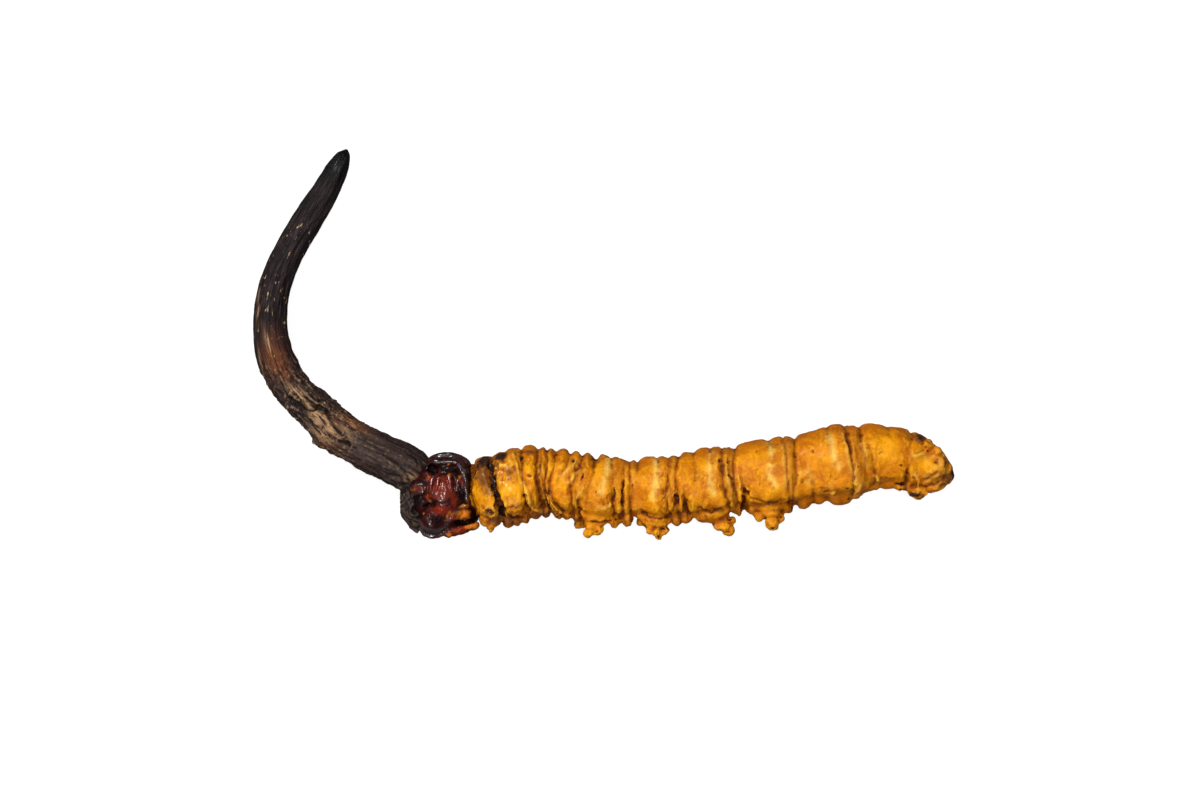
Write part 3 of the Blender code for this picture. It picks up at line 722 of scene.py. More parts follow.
# the skin's own brown stains, and deep-orange smudges over dimples and hollows of the abdomen: painted shade
brownPatches = [
    (-8.95, -9.8, 0.5, 1.0, 0, 1.3), (-8.75, -10.8, 0.34, 0.5, 0, 0.7), (-8.5, -12.5, 0.5, 0.34, -8, 0.9),
    (-7.0, -9.5, 0.46, 0.44, 0, 0.8), (-6.7, -12.05, 0.34, 0.24, 0, 0.5), (-5.3, -11.8, 0.2, 0.6, 6, 0.6),
    (-7.1, -9.5, 0.36, 0.36, 0, 0.7),
    (-5.5, -8.02, 0.58, 0.26, 0, 0.9), (-5.52, -9.76, 0.22, 0.16, -30, 0.8),
    (-7.9, -9.4, 0.34, 0.12, 0, 0.8),
    (25.7, -9.95, 0.56, 0.4, 25, 1.1), (25.4, -10.5, 0.5, 0.2, 20, 0.8), (23.75, -11.35, 0.5, 0.3, 0, 0.8),
    (22.6, -10.6, 0.4, 0.3, 0, 0.8), (23.62, -6.98, 0.5, 0.42, 0, 1.1), (24.3, -7.35, 0.34, 0.22, 0, 0.7),
    (24.8, -10.45, 0.6, 0.16, 15, 0.6), (17.2, -10.1, 0.36, 0.16, 20, 0.5),
    (16.4, -10.66, 0.5, 0.12, -6, 0.6),
    (14.84, -10.2, 0.26, 0.26, 0, 0.6), (11.3, -12.4, 0.5, 0.34, -30, 0.6),
    (11.3, -11.9, 0.5, 0.18, -20, 0.6),
    (4.3, -13.66, 0.7, 0.1, 0, 0.6), (9.3, -13.28, 0.5, 0.1, 0, 0.6), (24.8, -8.76, 0.24, 0.32, -30, 0.6),
    (-1.2, -11.78, 0.34, 0.16, 0, 0.6), (-7.4, -13.2, 1.6, 0.44, 0, 1.0),
    (-4.4, -12.75, 1.7, 0.36, 4, 0.85), (-2.2, -13.0, 0.9, 0.3, -10, 0.6),
    (-2.3, -8.6, 0.34, 0.16, 20, 0.6), (6.8, -9.9, 0.12, 0.34, 0, 0.4),
    (7.06, -11.3, 0.18, 0.22, 0, 0.4), (2.84, -11.62, 0.24, 0.26, 0, 0.35),
    (23.9, -9.5, 0.18, 0.12, 40, 0.4),
    (22.0, -9.4, 0.34, 0.12, 20, 0.3), (-6.84, -12.1, 0.34, 0.18, 0, 0.45),
    (-0.4, -12.45, 0.26, 0.1, 20, 0.5),
    (18.3, -10.7, 0.4, 0.1, 0, 0.4), (5.12, -8.9, 0.16, 0.5, 0, 0.6), (13.86, -7.6, 0.2, 0.46, 0, 0.5),
]
# the gold of the thorax is the skin's own colour; the brighter patches over bulges and hip rolls of the
# abdomen are painted light
goldPatches = [
    (-6.5, -10.9, 0.7, 0.6, 0, 1.0), (-8.85, -11.6, 0.5, 0.5, 0, 0.45), (-5.62, -9.02, 0.4, 0.44, 0, 1.0),
    (-7.0, -8.84, 0.34, 0.1, 10, 1.0), (-5.9, -10.3, 0.16, 0.5, 0, 0.8), (-9.55, -10.9, 0.2, 0.5, 0, 0.7),
    (-7.6, -9.02, 0.4, 0.14, 0, 1.0), (-6.88, -8.84, 0.24, 0.26, 0, 0.9), (-7.1, -10.7, 0.6, 0.5, 0, 1.0),
    (-6.5, -8.6, 0.1, 0.6, 0, 0.8), (-6.2, -10.2, 0.2, 0.5, 0, 0.9),
    (20.9, -7.8, 1.1, 1.0, 0, 0.9), (24.1, -9.0, 0.7, 0.5, -25, 0.8), (-3.3, -10.3, 0.4, 0.6, 0, 0.5),
    (3.7, -11.7, 0.9, 0.5, 0, 0.5), (12.6, -10.8, 0.9, 0.5, 0, 0.6), (7.4, -9.3, 0.7, 0.8, 0, 0.5),
    (-0.4, -9.6, 0.5, 0.9, 10, 0.6), (11.6, -8.6, 0.9, 0.7, 0, 0.4), (16.6, -8.4, 0.8, 1.0, 0, 0.5),
    (6.1, -9.6, 0.4, 0.8, 0, 0.4), (-1.2, -10.8, 0.4, 0.5, 0, 0.4), (3.3, -9.6, 0.5, 0.7, 0, 0.35),
    (8.3, -11.4, 0.7, 0.4, 0, 0.4), (4.0, -13.4, 0.8, 0.16, 0, 0.5), (8.6, -12.7, 0.8, 0.2, 20, 0.6),
    (12.6, -12.2, 0.7, 0.12, 0, 0.6), (-1.0, -14.1, 0.3, 0.2, 0, 0.7), (9.0, -13.6, 0.3, 0.25, 0, 0.5),
    (12.6, -12.62, 0.4, 0.12, 0, 0.7), (-0.9, -13.5, 0.4, 0.2, 0, 0.5), (3.95, -14.02, 0.24, 0.16, 0, 1.0),
]
# Brown folds between the segments: x at the back, in the middle and at the belly, half length, strength
brownFolds = [
    (5.22, 5.1, 5.6, 0.26, 0.8), (9.34, 9.32, 9.8, 0.42, 0.9), (13.88, 14.0, 14.3, 0.36, 0.9),
    (18.56, 18.9, 19.05, 0.38, 0.9), (1.3, 1.2, 1.3, 0.6, 0.6), (-4.55, -4.62, -4.3, 0.42, 0.7),
    (-1.2, -1.9, -2.1, 0.34, 0.5), (8.5, 8.6, 8.9, 0.24, 0.3), (2.2, 2.2, 2.3, 0.3, 0.4),
]


def patchMask(points, patches):
    total = np.zeros(len(points))
    for x, y, rx, ry, turn, strength in patches:
        total = np.maximum(total, strength * spot(points, x, y, rx, ry, turn))
    return total


def makeBody():
    shapes = [trunk(), *(lobe(*row) for row in bellyLobes + tailLobes),
              *(strand(row) for row in bellyStrands)]
    shapes += [strand(laid(rows, sunk), 12) for rows, sunk in ridges]
    ahead, inward, mirror = body["farLegs"]
    for x, y, z, *rest in bellyLobes:
        shapes.append(lobe(x - ahead, y + inward, 2 * mirror - z, *rest))
    piece, edges, points, normals = startPiece("larva_body", shapes, body["voxel"], 2)
    x, side, up, reach = trunkPlace(points)
    onTrunk = 1 - ramp(reach - spineAt(x)[1], 0.05, 0.35)
    faceUp = ramp(normals[:, 2], -0.1, 0.3)
    wander = wandering(points, 0.11, 0.42, 31)

    cuts = np.zeros(len(points))
    # dark: painted shade laid into the cut grooves and pits, partly the skin's own dark spots
    dark = np.zeros(len(points))
    uneven = 1 + 0.6 * grit(points, 0.5, 2, seed=4)
    for path, depth, width in flankGrooves:
        mask = groove(wander, path, width) * faceUp
        cuts += depth * mask * uneven
        dark = np.maximum(dark, mask * min(1, 3.4 * depth))
    for px, py, rx, ry, turn, depth, darkness in pits:
        mask = spot(wander, px, py, rx, ry, turn) * faceUp
        cuts += depth * mask
        dark = np.maximum(dark, darkness * ramp(mask, 0.1, 0.9))
    folds = np.zeros(len(points))
    seen = points[:, 0] + foldWobble(x, side, up)
    for back, middle, belly, half, strength in brownFolds:
        centre = middle + 0.5 * (back - belly) * side + (0.5 * (back + belly) - middle) * side**2
        folds = np.maximum(folds, strength * (1 - ramp(np.abs(seen - centre), half * 0.6, half * 1.4)))
    smooth = ramp(x, 5.5, 9.0)  # the hind half is plumper and smoother
    relief = 0.15 * grit(points, 1.6, 2, seed=1) + (0.06 - 0.035 * smooth) * grit(points, 0.55, 3, seed=3)
    wrinkle = (1 - np.abs(grit(points, 0.9, 3, seed=8, stretch=(1.5, 0.6, 0.6)))) ** 7
    wrinkle *= ramp(grit(points, 1.8, 1, seed=9), -0.1 + 0.15 * smooth, 0.4) * (1 - 0.4 * smooth)
    relief -= 0.07 * wrinkle
    relief += 0.09 * (0.3 + folds) * np.minimum(grit(points, 0.55, 3, seed=5, stretch=(1.8, 0.5, 0.5)), 0)
    relief += 0.1 * (1 - onTrunk) * grit(points, 0.4, 3, seed=6)
    thorax = 1 - ramp(x, -7.5, -5.5)
    relief += 0.08 * thorax * grit(points, 0.45, 3, seed=7)
    points += normals * (relief - cuts)[:, None]

    normals = normalsOf(piece, points)
    # hollowness at three scales: the hollows get painted shade and the crowns painted light
    fine = hollowness(points, normals, edges, 3)
    middle = averaged(hollowness(points, normals, edges, 12), edges, 1)
    broad = averaged(hollowness(points, normals, edges, 40), edges, 2)
    inCrease = foldRelief(seen, side)[1] * onTrunk
    putPlaces(piece, "place", points)
    putPlaces(piece, "ring", np.column_stack([x, 2.7 * side, 2.7 * up]))
    # pale: painted highlight along the ridges, strongest on the low crests down the middle of a segment
    pale = np.zeros(len(points))
    for rows, sunk in ridges:
        gap = nearPath(wander, [row[:2] for row in rows])[0]
        pale = np.maximum(pale, np.exp(-(gap / 0.24) ** 2) * (1.0 if sunk > 1 else 0.35))
    stained = thorax * ramp(grit(points, 0.7, 4, seed=33), 0.02, 0.3) * ramp(points[:, 1], -12.6, -9.6)
    putMasks(
        piece,
        # painted shade: darkness laid into the fold creases, the cut grooves and pits, and the fine hollows
        crease=np.maximum(0.75 * inCrease, dark) + ramp(fine, 0.005, 0.035) * 0.7,
        # painted shade over the wider hollows
        hollow=ramp(middle, 0.0, 0.07) * 0.6 + ramp(broad, 0.02, 0.2) * 0.6,
        # painted light: lighter colour on the crowns
        crown=ramp(-fine, 0.002, 0.014) * 0.4 + ramp(-middle, 0.01, 0.06) * 0.5
        + ramp(-broad, 0.05, 0.22) * 0.4,
        # painted highlight along the crests
        pale=pale * faceUp,
        # the fine wrinkles are also darkened in colour: painted shade
        wrinkle=wrinkle,
        # painted shade in the grooves and pits, partly the skin's own dark spots
        pit=dark,
        fold=folds * onTrunk,
        # black marks, and painted shade in the crack, pits and grooves
        black=patchMask(wander, blackPatches) * faceUp,
        # brown stains, and painted shade in abdominal dimples
        brown=np.maximum(patchMask(wander, brownPatches), stained) * faceUp,
        # gold of the thorax, and painted light over abdominal bulges
        gold=patchMask(wander, goldPatches) * faceUp,
        # painted shade toward the belly edge and on the parts off the trunk
        belly=np.maximum(ramp(-side, 0.66, 0.95), 1 - onTrunk),
        # painted shade toward both long edges
        rim=ramp(np.abs(side), 0.62, 0.97) * onTrunk,
        thorax=thorax,
    )
    finishPiece(piece, points, "larva", larvaSkin())


skinColours = {
    "ochre": (0.74, 0.25, 0.003), "deepOchre": (0.52, 0.135, 0.002), "crown": (1.0, 0.48, 0.018),
    "pale": (1.0, 0.7, 0.15), "gold": (1.0, 0.44, 0.004), "fold": (0.46, 0.15, 0.01),
    "crease": (0.12, 0.024, 0.001), "pit": (0.012, 0.003, 0.001), "black": (0.014, 0.006, 0.005),
    "brown": (0.13, 0.04, 0.012), "belly": (0.52, 0.155, 0.006),
}


def larvaSkin():
    r = Recipe("larva skin", skinColours, "deepOchre", Coat_Roughness=0.22, Subsurface_Weight=0.08,
               Subsurface_Scale=0.0003, Specular_IOR_Level=0.09)
    r.shader.inputs["Subsurface Radius"].default_value = (1.0, 0.45, 0.15)
    blotch = r.noise(1.1, 4, 0.6)
    mottle = r.noise(0.4, 4, 0.65)
    grain = r.noise(0.15, 3, 0.6)
    streak = r.noise(0.5, 4, 0.6, places=r.places("ring"), stretch=(2.0, 0.6, 0.6))
    ragged = (mottle - 0.5) * 1.2
    r.tint(r.between(blotch, 0.4, 0.62), "ochre")
    # painted light on the crowns
    r.tint(r.mask("crown") * r.between(mottle, 0.25, 0.55) * 0.8, "crown")
    r.tint(r.between(streak, 0.54, 0.7) * 0.3, "deepOchre")
    freckle = r.noise(0.24, 3, 0.7)
    r.tint(r.between(freckle, 0.52, 0.66) * 0.4, "deepOchre")
    # random lighter freckles, the skin's own tone, drawn in the crown-light colour
    r.tint((1 - r.between(freckle, 0.34, 0.46)) * 0.3, "crown")
    # painted shade toward the belly edge and on the parts off the trunk
    r.tint(r.mask("belly") * r.between(mottle, 0.3, 0.6) * 0.6, "belly")
    # painted shade toward both long edges
    r.tint(r.mask("rim") * r.between(mottle, 0.2, 0.55) * 0.8, "deepOchre")
    # gold of the thorax, and painted light over abdominal bulges
    r.tint(r.mask("gold") * r.between(mottle, 0.22, 0.5) * 0.8, "gold")
    r.tint(r.mask("fold") * r.between(mottle, 0.3, 0.6) * 0.7, "fold")
    # painted highlight along the crests
    r.tint(r.mask("pale") * r.between(blotch, 0.3, 0.6) * 0.62, "pale")
    # brown stains, and painted shade in abdominal dimples
    r.tint(r.between(r.mask("brown") + ragged * 0.5, 0.2, 0.85) * 0.85, "brown")
    # painted shade in the fine wrinkles
    r.tint((r.mask("wrinkle") * 0.45).clamped(), "crease")
    # painted shade in the wider hollows
    r.tint((r.mask("hollow") * 0.72).clamped(), "crease")
    # painted shade in the creases, grooves and pits
    r.tint((r.mask("crease") * (mottle * 0.9 + 0.55)).clamped(), "crease")
    # black marks, and painted shade in the crack, pits and grooves
    r.tint(r.between(r.mask("black") + ragged * 0.8, 0.28, 0.7) * 0.95, "black")
    # painted shade in the cut grooves and pits, partly the skin's own dark spots
    r.tint(r.between(r.mask("pit") + ragged * 0.3, 0.35, 0.85), "pit")
    # the skin's own dark specks, drawn in the crease-shade colour
    speck = (1 - r.between(r.dots(0.42), 0.06, 0.14)) * r.between(blotch, 0.5, 0.62)
    r.tint(speck * 0.5, "crease")
    shine = r.between(mottle, 0.42, 0.6) * (r.mask("thorax") * 0.4 + 0.04)
    height = grain * 0.45 + mottle * 0.8 + streak * 0.35
    return r.finish(mottle * 0.5 + r.mask("crease") * 0.2 + 0.15, shine, height, 0.09)


# The head: lobes as x, y, z, half sizes, turn, then creased strands over them
head = {
    "voxel": 0.065,
    "lobes": [
        (-11.85, -11.3, 2.62, 1.95, 2.7, 2.15, 0),   # core
        (-11.62, -9.0, 2.95, 1.74, 0.96, 1.55, -4),   # dark lobe at the back
        (-11.95, -10.9, 3.9, 1.18, 1.35, 1.32, 0),   # glossy face
        (-12.75, -13.05, 3.15, 1.18, 1.16, 1.35, 0),   # dark lobe at the lower left
        (-13.4, -11.9, 3.1, 0.88, 0.92, 1.4, 0),   # black lobe above it
        (-10.47, -10.3, 3.1, 0.66, 1.45, 1.45, 0),   # wrinkled band at the neck
        (-10.5, -12.62, 3.2, 0.8, 0.64, 0.86, 0),   # amber lobe
        (-10.85, -13.78, 2.85, 1.4, 0.48, 0.75, 14),  # lower ridge
        (-9.85, -13.55, 2.85, 0.58, 0.38, 0.55, 8),    # its orange end
        (-11.64, -14.22, 2.95, 0.28, 0.28, 0.3, 0),   # nub
        (-13.55, -10.65, 3.1, 1.1, 0.98, 1.45, 25),  # ruddy shoulder against the collar
        (-13.1, -9.8, 3.05, 0.75, 0.8, 1.4, 0),
        (-11.15, -12.6, 3.5, 0.8, 0.75, 0.95, 0),
        # low lobes that fill out the head's underside and the gap towards the body; the painted shade of the
        # low parts darkens them
        (-10.6, -13.1, 2.0, 1.1, 0.8, 1.2, 0), (-9.85, -12.2, 1.9, 0.6, 1.3, 1.2, 0),
        (-11.85, -13.0, 1.6, 1.5, 1.3, 1.4, 0), (-11.6, -9.6, 1.7, 1.5, 1.4, 1.4, 0),
    ],
    "strands": [
        # the lip over the hollow, and curved ribs over the back lobe
        [(-13.2, -9.06, 3.95, 0.16), (-12.55, -8.74, 4.34, 0.24), (-11.9, -8.76, 4.5, 0.22),
         (-11.2, -8.74, 4.46, 0.22), (-10.65, -9.02, 4.36, 0.2), (-10.28, -9.5, 4.26, 0.15)],
        [(-13.05, -8.58, 3.45, 0.16), (-12.3, -8.3, 3.8, 0.22), (-11.5, -8.24, 3.9, 0.22),
         (-10.7, -8.4, 3.8, 0.2), (-10.15, -8.84, 3.75, 0.16)],
        [(-11.3, -8.42, 4.1, 0.11), (-10.75, -8.62, 4.15, 0.14), (-10.3, -9.1, 4.05, 0.12)],
        [(-10.95, -8.9, 4.45, 0.1), (-10.62, -9.3, 4.45, 0.13), (-10.5, -9.75, 4.4, 0.1)],
        # upright ribs on the face
        [(-12.62, -9.78, 5.0, 0.1), (-12.8, -10.3, 5.08, 0.14), (-12.82, -10.8, 5.02, 0.13),
         (-12.72, -11.15, 4.9, 0.09)],
        [(-12.2, -9.85, 5.1, 0.1), (-12.36, -10.5, 5.22, 0.13), (-12.52, -11.2, 5.0, 0.09)],
        [(-11.9, -10.2, 5.12, 0.09), (-11.98, -10.8, 5.22, 0.12), (-12.1, -11.3, 5.08, 0.09)],
        [(-11.52, -9.7, 5.0, 0.12), (-11.4, -10.3, 5.12, 0.13), (-11.28, -11.0, 4.9, 0.1)],
        [(-11.75, -10.3, 5.14, 0.09), (-11.72, -10.9, 5.18, 0.12), (-11.8, -11.4, 5.02, 0.09)],
        [(-12.45, -11.45, 4.96, 0.1), (-12.1, -11.66, 4.94, 0.14), (-11.7, -11.5, 4.92, 0.1)],
        [(-12.35, -11.85, 4.74, 0.09), (-12.0, -11.96, 4.74, 0.12), (-11.6, -11.85, 4.7, 0.09)],
        [(-11.05, -9.9, 4.78, 0.11), (-10.88, -10.4, 4.82, 0.14), (-10.92, -10.9, 4.7, 0.1)],
        # beads along the neck
        [(-10.4, -9.5, 4.38, 0.13), (-10.28, -10.1, 4.46, 0.17), (-10.3, -10.6, 4.46, 0.12),
         (-10.22, -11.1, 4.4, 0.16), (-10.2, -11.7, 4.2, 0.13)],
        [(-10.72, -12.16, 3.92, 0.09), (-10.4, -12.05, 3.98, 0.12), (-10.08, -11.92, 3.92, 0.08)],
        # rims round the lower left lobe
        [(-13.85, -13.1, 3.35, 0.12), (-13.35, -13.68, 3.4, 0.17), (-12.6, -13.92, 3.4, 0.18),
         (-11.9, -13.64, 3.5, 0.16), (-11.5, -13.05, 3.8, 0.12)],
        [(-13.78, -13.7, 2.8, 0.16), (-13.4, -14.16, 2.85, 0.22), (-12.8, -14.32, 2.9, 0.24),
         (-12.2, -14.2, 2.9, 0.22), (-11.7, -13.95, 3.0, 0.16)],
        [(-13.2, -12.9, 4.2, 0.09), (-12.98, -13.25, 4.25, 0.12), (-12.9, -13.55, 4.05, 0.09)],
        # folds of the shoulder
        [(-14.4, -10.75, 3.8, 0.12), (-14.0, -10.5, 4.25, 0.16), (-13.5, -10.4, 4.45, 0.14)],
        [(-14.25, -11.2, 3.85, 0.12), (-13.85, -10.98, 4.25, 0.16), (-13.4, -11.0, 4.45, 0.14)],
    ],
    "redPatch": [(-12.0, -10.7, 1.1, 1.1, 0, 1.0), (-13.8, -10.7, 0.7, 0.45, 0, 0.55),
                 (-13.05, -11.3, 0.36, 0.3, 0, 0.9), (-13.0, -9.95, 0.4, 0.3, 0, 0.8),
                 (-12.1, -12.3, 0.95, 0.46, 0, 0.9), (-11.2, -11.5, 0.36, 0.7, 0, 0.9),
                 (-12.2, -12.8, 0.7, 0.6, 0, 0.15), (-11.3, -12.9, 0.5, 0.5, 0, 0.6),
                 (-10.7, -10.2, 0.24, 0.5, 0, 0.6)],
    # amber colour of the lobes and ridge ends, with a painted highlight streak over the amber lobe
    "amberPatch": [(-10.4, -12.7, 0.6, 0.5, 0, 1.0), (-11.25, -12.6, 0.5, 0.36, 0, 0.5),
                   (-12.9, -11.75, 0.16, 0.2, 0, 0.6), (-11.9, -12.1, 0.3, 0.16, 0, 0.4),
                   (-12.95, -9.9, 0.2, 0.2, 0, 0.5), (-9.85, -13.55, 0.6, 0.3, 10, 1.4),
                   (-10.35, -12.06, 0.4, 0.14, 12, 1.4),
                   (-11.62, -12.75, 0.12, 0.36, -20, 0.7), (-11.62, -14.26, 0.24, 0.2, 0, 1.3),
                   (-10.02, -11.6, 0.16, 0.34, 0, 0.7),
                   (-14.1, -10.75, 0.3, 0.16, 20, 0.6), (-11.5, -9.76, 0.13, 0.16, 0, 1.3),
                   (-13.1, -11.22, 0.14, 0.12, 0, 0.8),
                   (-11.57, -8.95, 0.09, 0.07, 0, 1.6), (-13.42, -12.66, 0.11, 0.07, 40, 1.6),
                   (-10.72, -9.9, 0.14, 0.24, 0, 0.7)],
    "ruddyRidge": [(-10.9, -13.95, 0.9, 0.26, 14, 1.0)],
    # hollows: x, y, half sizes, turn, depth; each is also darkened in colour: painted shade
    "hollows": [(-12.74, -9.24, 0.46, 0.22, -20, 0.34), (-12.9, -12.0, 0.5, 0.2, 10, 0.14),
                (-10.55, -13.3, 0.7, 0.14, 4, 0.26), (-12.4, -13.15, 0.42, 0.34, 0, 0.1),
                (-13.05, -12.05, 0.5, 0.26, 20, 0.12), (-9.75, -12.9, 0.26, 0.5, 0, 0.1)],
}


def makeHead():
    shapes = [lobe(*row) for row in head["lobes"]] + [strand(rows, 12) for rows in head["strands"]]
    piece, edges, points, normals = startPiece("larva_head", shapes, head["voxel"], 3)
    faceUp = ramp(normals[:, 2], -0.2, 0.3)
    wander = wandering(points, 0.1, 0.35, 41)
    # only the ribs and the face are wet-looking and smooth, the hollows between them are dull; the same mask
    # also lays a painted highlight along the ribs and rims
    sheen = 0.6 * spot(points, -12.0, -10.8, 1.1, 1.3, 0)
    for rows in head["strands"]:
        gap = nearPath(points, [row[:2] for row in rows])[0]
        sheen = np.maximum(sheen, np.exp(-(gap / (0.85 * rows[1][3])) ** 2))
    relief = 0.05 * grit(points, 0.9, 3, seed=11) + 0.04 * (1 - 0.9 * sheen) * grit(points, 0.32, 3,
        seed=12)
    wrinkled = 1 - patchMask(points, [(-12.0, -10.9, 1.2, 1.2, 0, 0.7), (-12.7, -13.0, 0.9, 0.9, 0, 0.7)])
    relief -= 0.08 * wrinkled * (1 - 0.8 * sheen) * np.abs(grit(points, 0.6, 3, seed=13))
    # dark: painted shade in the hollows
    dark = np.zeros(len(points))
    for px, py, rx, ry, turn, depth in head["hollows"]:
        mask = spot(wander, px, py, rx, ry, turn) * faceUp
        relief -= depth * mask
        dark = np.maximum(dark, ramp(mask, 0.2, 0.8))
    points += normals * relief[:, None]
    normals = normalsOf(piece, points)
    fine = hollowness(points, normals, edges, 3)
    putPlaces(piece, "place", points)
    putMasks(
        piece,
        # painted shade in the fine hollows and in the hollows listed above
        crease=ramp(fine, 0.002, 0.02) + dark,
        red=patchMask(wander, head["redPatch"]) * faceUp,
        # amber colour, with a painted highlight streak over the amber lobe
        amber=patchMask(wander, head["amberPatch"]) * faceUp,
        ruddy=patchMask(wander, head["ruddyRidge"]),
        # painted shade on the low parts near the table
        low=1 - ramp(points[:, 2], 2.3, 3.0),
        sheen=sheen * (1 - 0.5 * ramp(points[:, 1], -9.4, -8.9)) * faceUp,  # duller over the back lobe
    )
    finishPiece(piece, points, "head", headShell())


shellColours = {
    "dark": (0.006, 0.002, 0.002), "oxblood": (0.036, 0.003, 0.002), "red": (0.19, 0.014, 0.002),
    "amber": (0.58, 0.16, 0.012), "ruddy": (0.3, 0.032, 0.006), "crease": (0.003, 0.001, 0.001),
    "bloom": (0.085, 0.05, 0.058),
}


def headShell():
    r = Recipe("head shell", shellColours, "dark", Coat_Roughness=0.24, Coat_IOR=1.9, Specular_IOR_Level=0.08)
    blotch = r.noise(0.9, 4, 0.6)
    mottle = r.noise(0.28, 4, 0.65)
    r.tint(r.between(blotch, 0.4, 0.62), "oxblood")
    r.tint(r.between(r.mask("red") + (mottle - 0.5) * 0.9, 0.15, 0.85), "red")
    r.tint((r.mask("ruddy") * (mottle + 0.4)).clamped(), "ruddy")
    # amber colour, with a painted highlight streak over the amber lobe
    r.tint(r.between(r.mask("amber") + (mottle - 0.5) * 0.8, 0.2, 1.0), "amber")
    # painted highlight along the ribs and rims
    r.tint(r.mask("sheen") * r.between(mottle, 0.38, 0.6) * (1 - r.mask("red")).clamped() * 0.6, "bloom")
    # painted shade in the hollows
    r.tint((r.mask("crease") * 0.85).clamped(), "crease")
    # painted shade on the low parts, except the ruddy ridge
    r.tint((r.mask("low") * (1 - r.mask("ruddy"))).clamped() * 0.9, "crease")
    shine = r.mask("sheen") + 0.03 - r.mask("crease") * 0.4
    return r.finish(mottle * 0.3 + 0.35, shine, mottle + blotch * 0.5, 0.025)


# The stroma: the stalk, its collar round the head's front, and the marks of its bark
stroma = {
    "voxel": 0.085,
    "pit": (-14.06, -12.38),
    "ringGap": 0.36,  # between the wrinkles round the pit
    # from tip to root: x, y, z, half width
    "line": [
        (-19.3, 14.62, 2.25, 0.18), (-19.42, 14.35, 2.24, 0.44), (-19.62, 14.0, 2.22, 0.62),
        (-20.02, 13.2, 2.15, 0.82), (-20.87, 11.61, 2.0, 1.0), (-21.82, 10.07, 1.85, 1.1),
        (-23.27, 7.79, 1.62, 1.13), (-24.11, 6.2, 1.48, 1.18), (-24.75, 4.5, 1.36, 1.2),
        (-25.09, 2.7, 1.29, 1.25), (-25.12, 0.86, 1.28, 1.31), (-24.72, -0.96, 1.34, 1.38),
        (-23.9, -2.64, 1.44, 1.42), (-22.7, -4.09, 1.58, 1.46), (-21.32, -5.31, 1.76, 1.55),
        (-19.96, -6.51, 1.96, 1.7), (-18.39, -7.44, 2.18, 1.62), (-16.77, -8.26, 2.38, 1.66),
        (-15.12, -9.05, 2.5, 1.72), (-14.35, -9.5, 2.45, 1.68), (-13.6, -10.05, 2.3, 1.3),
        (-13.1, -10.45, 2.2, 0.8),
    ],
    "lobes": [
        (-14.0, -12.0, 2.2, 0.9, 2.0, 1.45, 0),
        (-14.6, -9.3, 2.5, 0.75, 1.05, 1.4, -60),
    ],
    "collar": [
        # wrinkled rims that hug the head, the outermost first
        [(-14.72, -10.8, 2.7, 0.22), (-14.94, -11.6, 2.6, 0.25), (-14.88, -12.4, 2.6, 0.25),
         (-14.64, -13.1, 2.6, 0.24), (-14.3, -13.68, 2.6, 0.22), (-13.95, -14.0, 2.6, 0.18)],
        [(-14.5, -10.9, 3.2, 0.18), (-14.66, -11.6, 3.2, 0.2), (-14.6, -12.4, 3.15, 0.2),
         (-14.34, -13.1, 3.1, 0.2), (-14.0, -13.6, 3.0, 0.18)],
        [(-14.26, -11.3, 3.6, 0.15), (-14.4, -11.8, 3.6, 0.18), (-14.36, -12.4, 3.55, 0.18),
         (-14.12, -12.9, 3.45, 0.16), (-13.8, -13.2, 3.4, 0.14)],
        [(-14.95, -11.75, 2.35, 0.24), (-15.1, -12.02, 2.25, 0.16)],
        [(-14.85, -10.5, 2.2, 0.36), (-14.98, -11.6, 2.0, 0.38), (-14.8, -12.8, 1.95, 0.38),
         (-14.25, -13.7, 2.0, 0.32)],
        [(-14.7, -10.6, 1.3, 0.38), (-14.8, -11.6, 1.2, 0.4), (-14.55, -12.8, 1.2, 0.38),
         (-14.1, -13.5, 1.4, 0.32)],
    ],
    "bark": [
        [(-23.2, -4.5, 2.45, 0.3), (-22.4, -5.6, 2.35, 0.36), (-21.4, -6.5, 2.35, 0.36),
         (-20.9, -6.9, 2.4, 0.24)],
        [(-21.6, -4.3, 2.95, 0.26), (-21.0, -4.45, 3.05, 0.3), (-20.6, -4.9, 3.2, 0.26)],
        [(-21.8, -7.2, 2.1, 0.22), (-21.1, -7.6, 2.2, 0.26), (-20.3, -8.0, 2.3, 0.18)],
    ],
}
# Cracks and pits of the stalk: path, depth, width; they are also darkened in colour: painted shade
stalkCracks = [
    ([(-23.7, -3.9), (-23.0, -4.6), (-22.2, -4.9)], 0.35, 0.22),
    ([(-22.3, -3.9), (-21.6, -4.6), (-20.9, -4.9), (-20.3, -5.4)], 0.26, 0.14),
    ([(-22.3, -4.9), (-21.7, -4.9), (-21.2, -4.4)], 0.22, 0.12),
    ([(-22.4, -5.0), (-21.9, -6.0), (-21.2, -6.8)], 0.2, 0.12),
    ([(-20.8, -5.0), (-20.2, -6.0), (-19.5, -6.9)], 0.18, 0.12),
    ([(-19.9, -7.2), (-19.3, -7.4), (-18.9, -7.7)], 0.26, 0.14),
    ([(-24.4, -2.3), (-24.0, -3.3), (-23.4, -4.2)], 0.16, 0.1),
    ([(-17.0, -8.0), (-15.8, -8.6), (-14.9, -9.4), (-14.4, -10.4)], 0.16, 0.12),
    ([(-16.3, -9.7), (-15.3, -9.9), (-14.8, -10.6)], 0.14, 0.12),
    ([(-14.7, -8.2), (-14.0, -8.5), (-13.8, -9.2)], 0.12, 0.1),
    ([(-15.3, -10.3), (-14.9, -10.5), (-14.5, -10.4)], 0.1, 0.1),
    ([(-26.2, 1.8), (-26.1, 0.0), (-25.6, -1.6)], 0.08, 0.1),
]
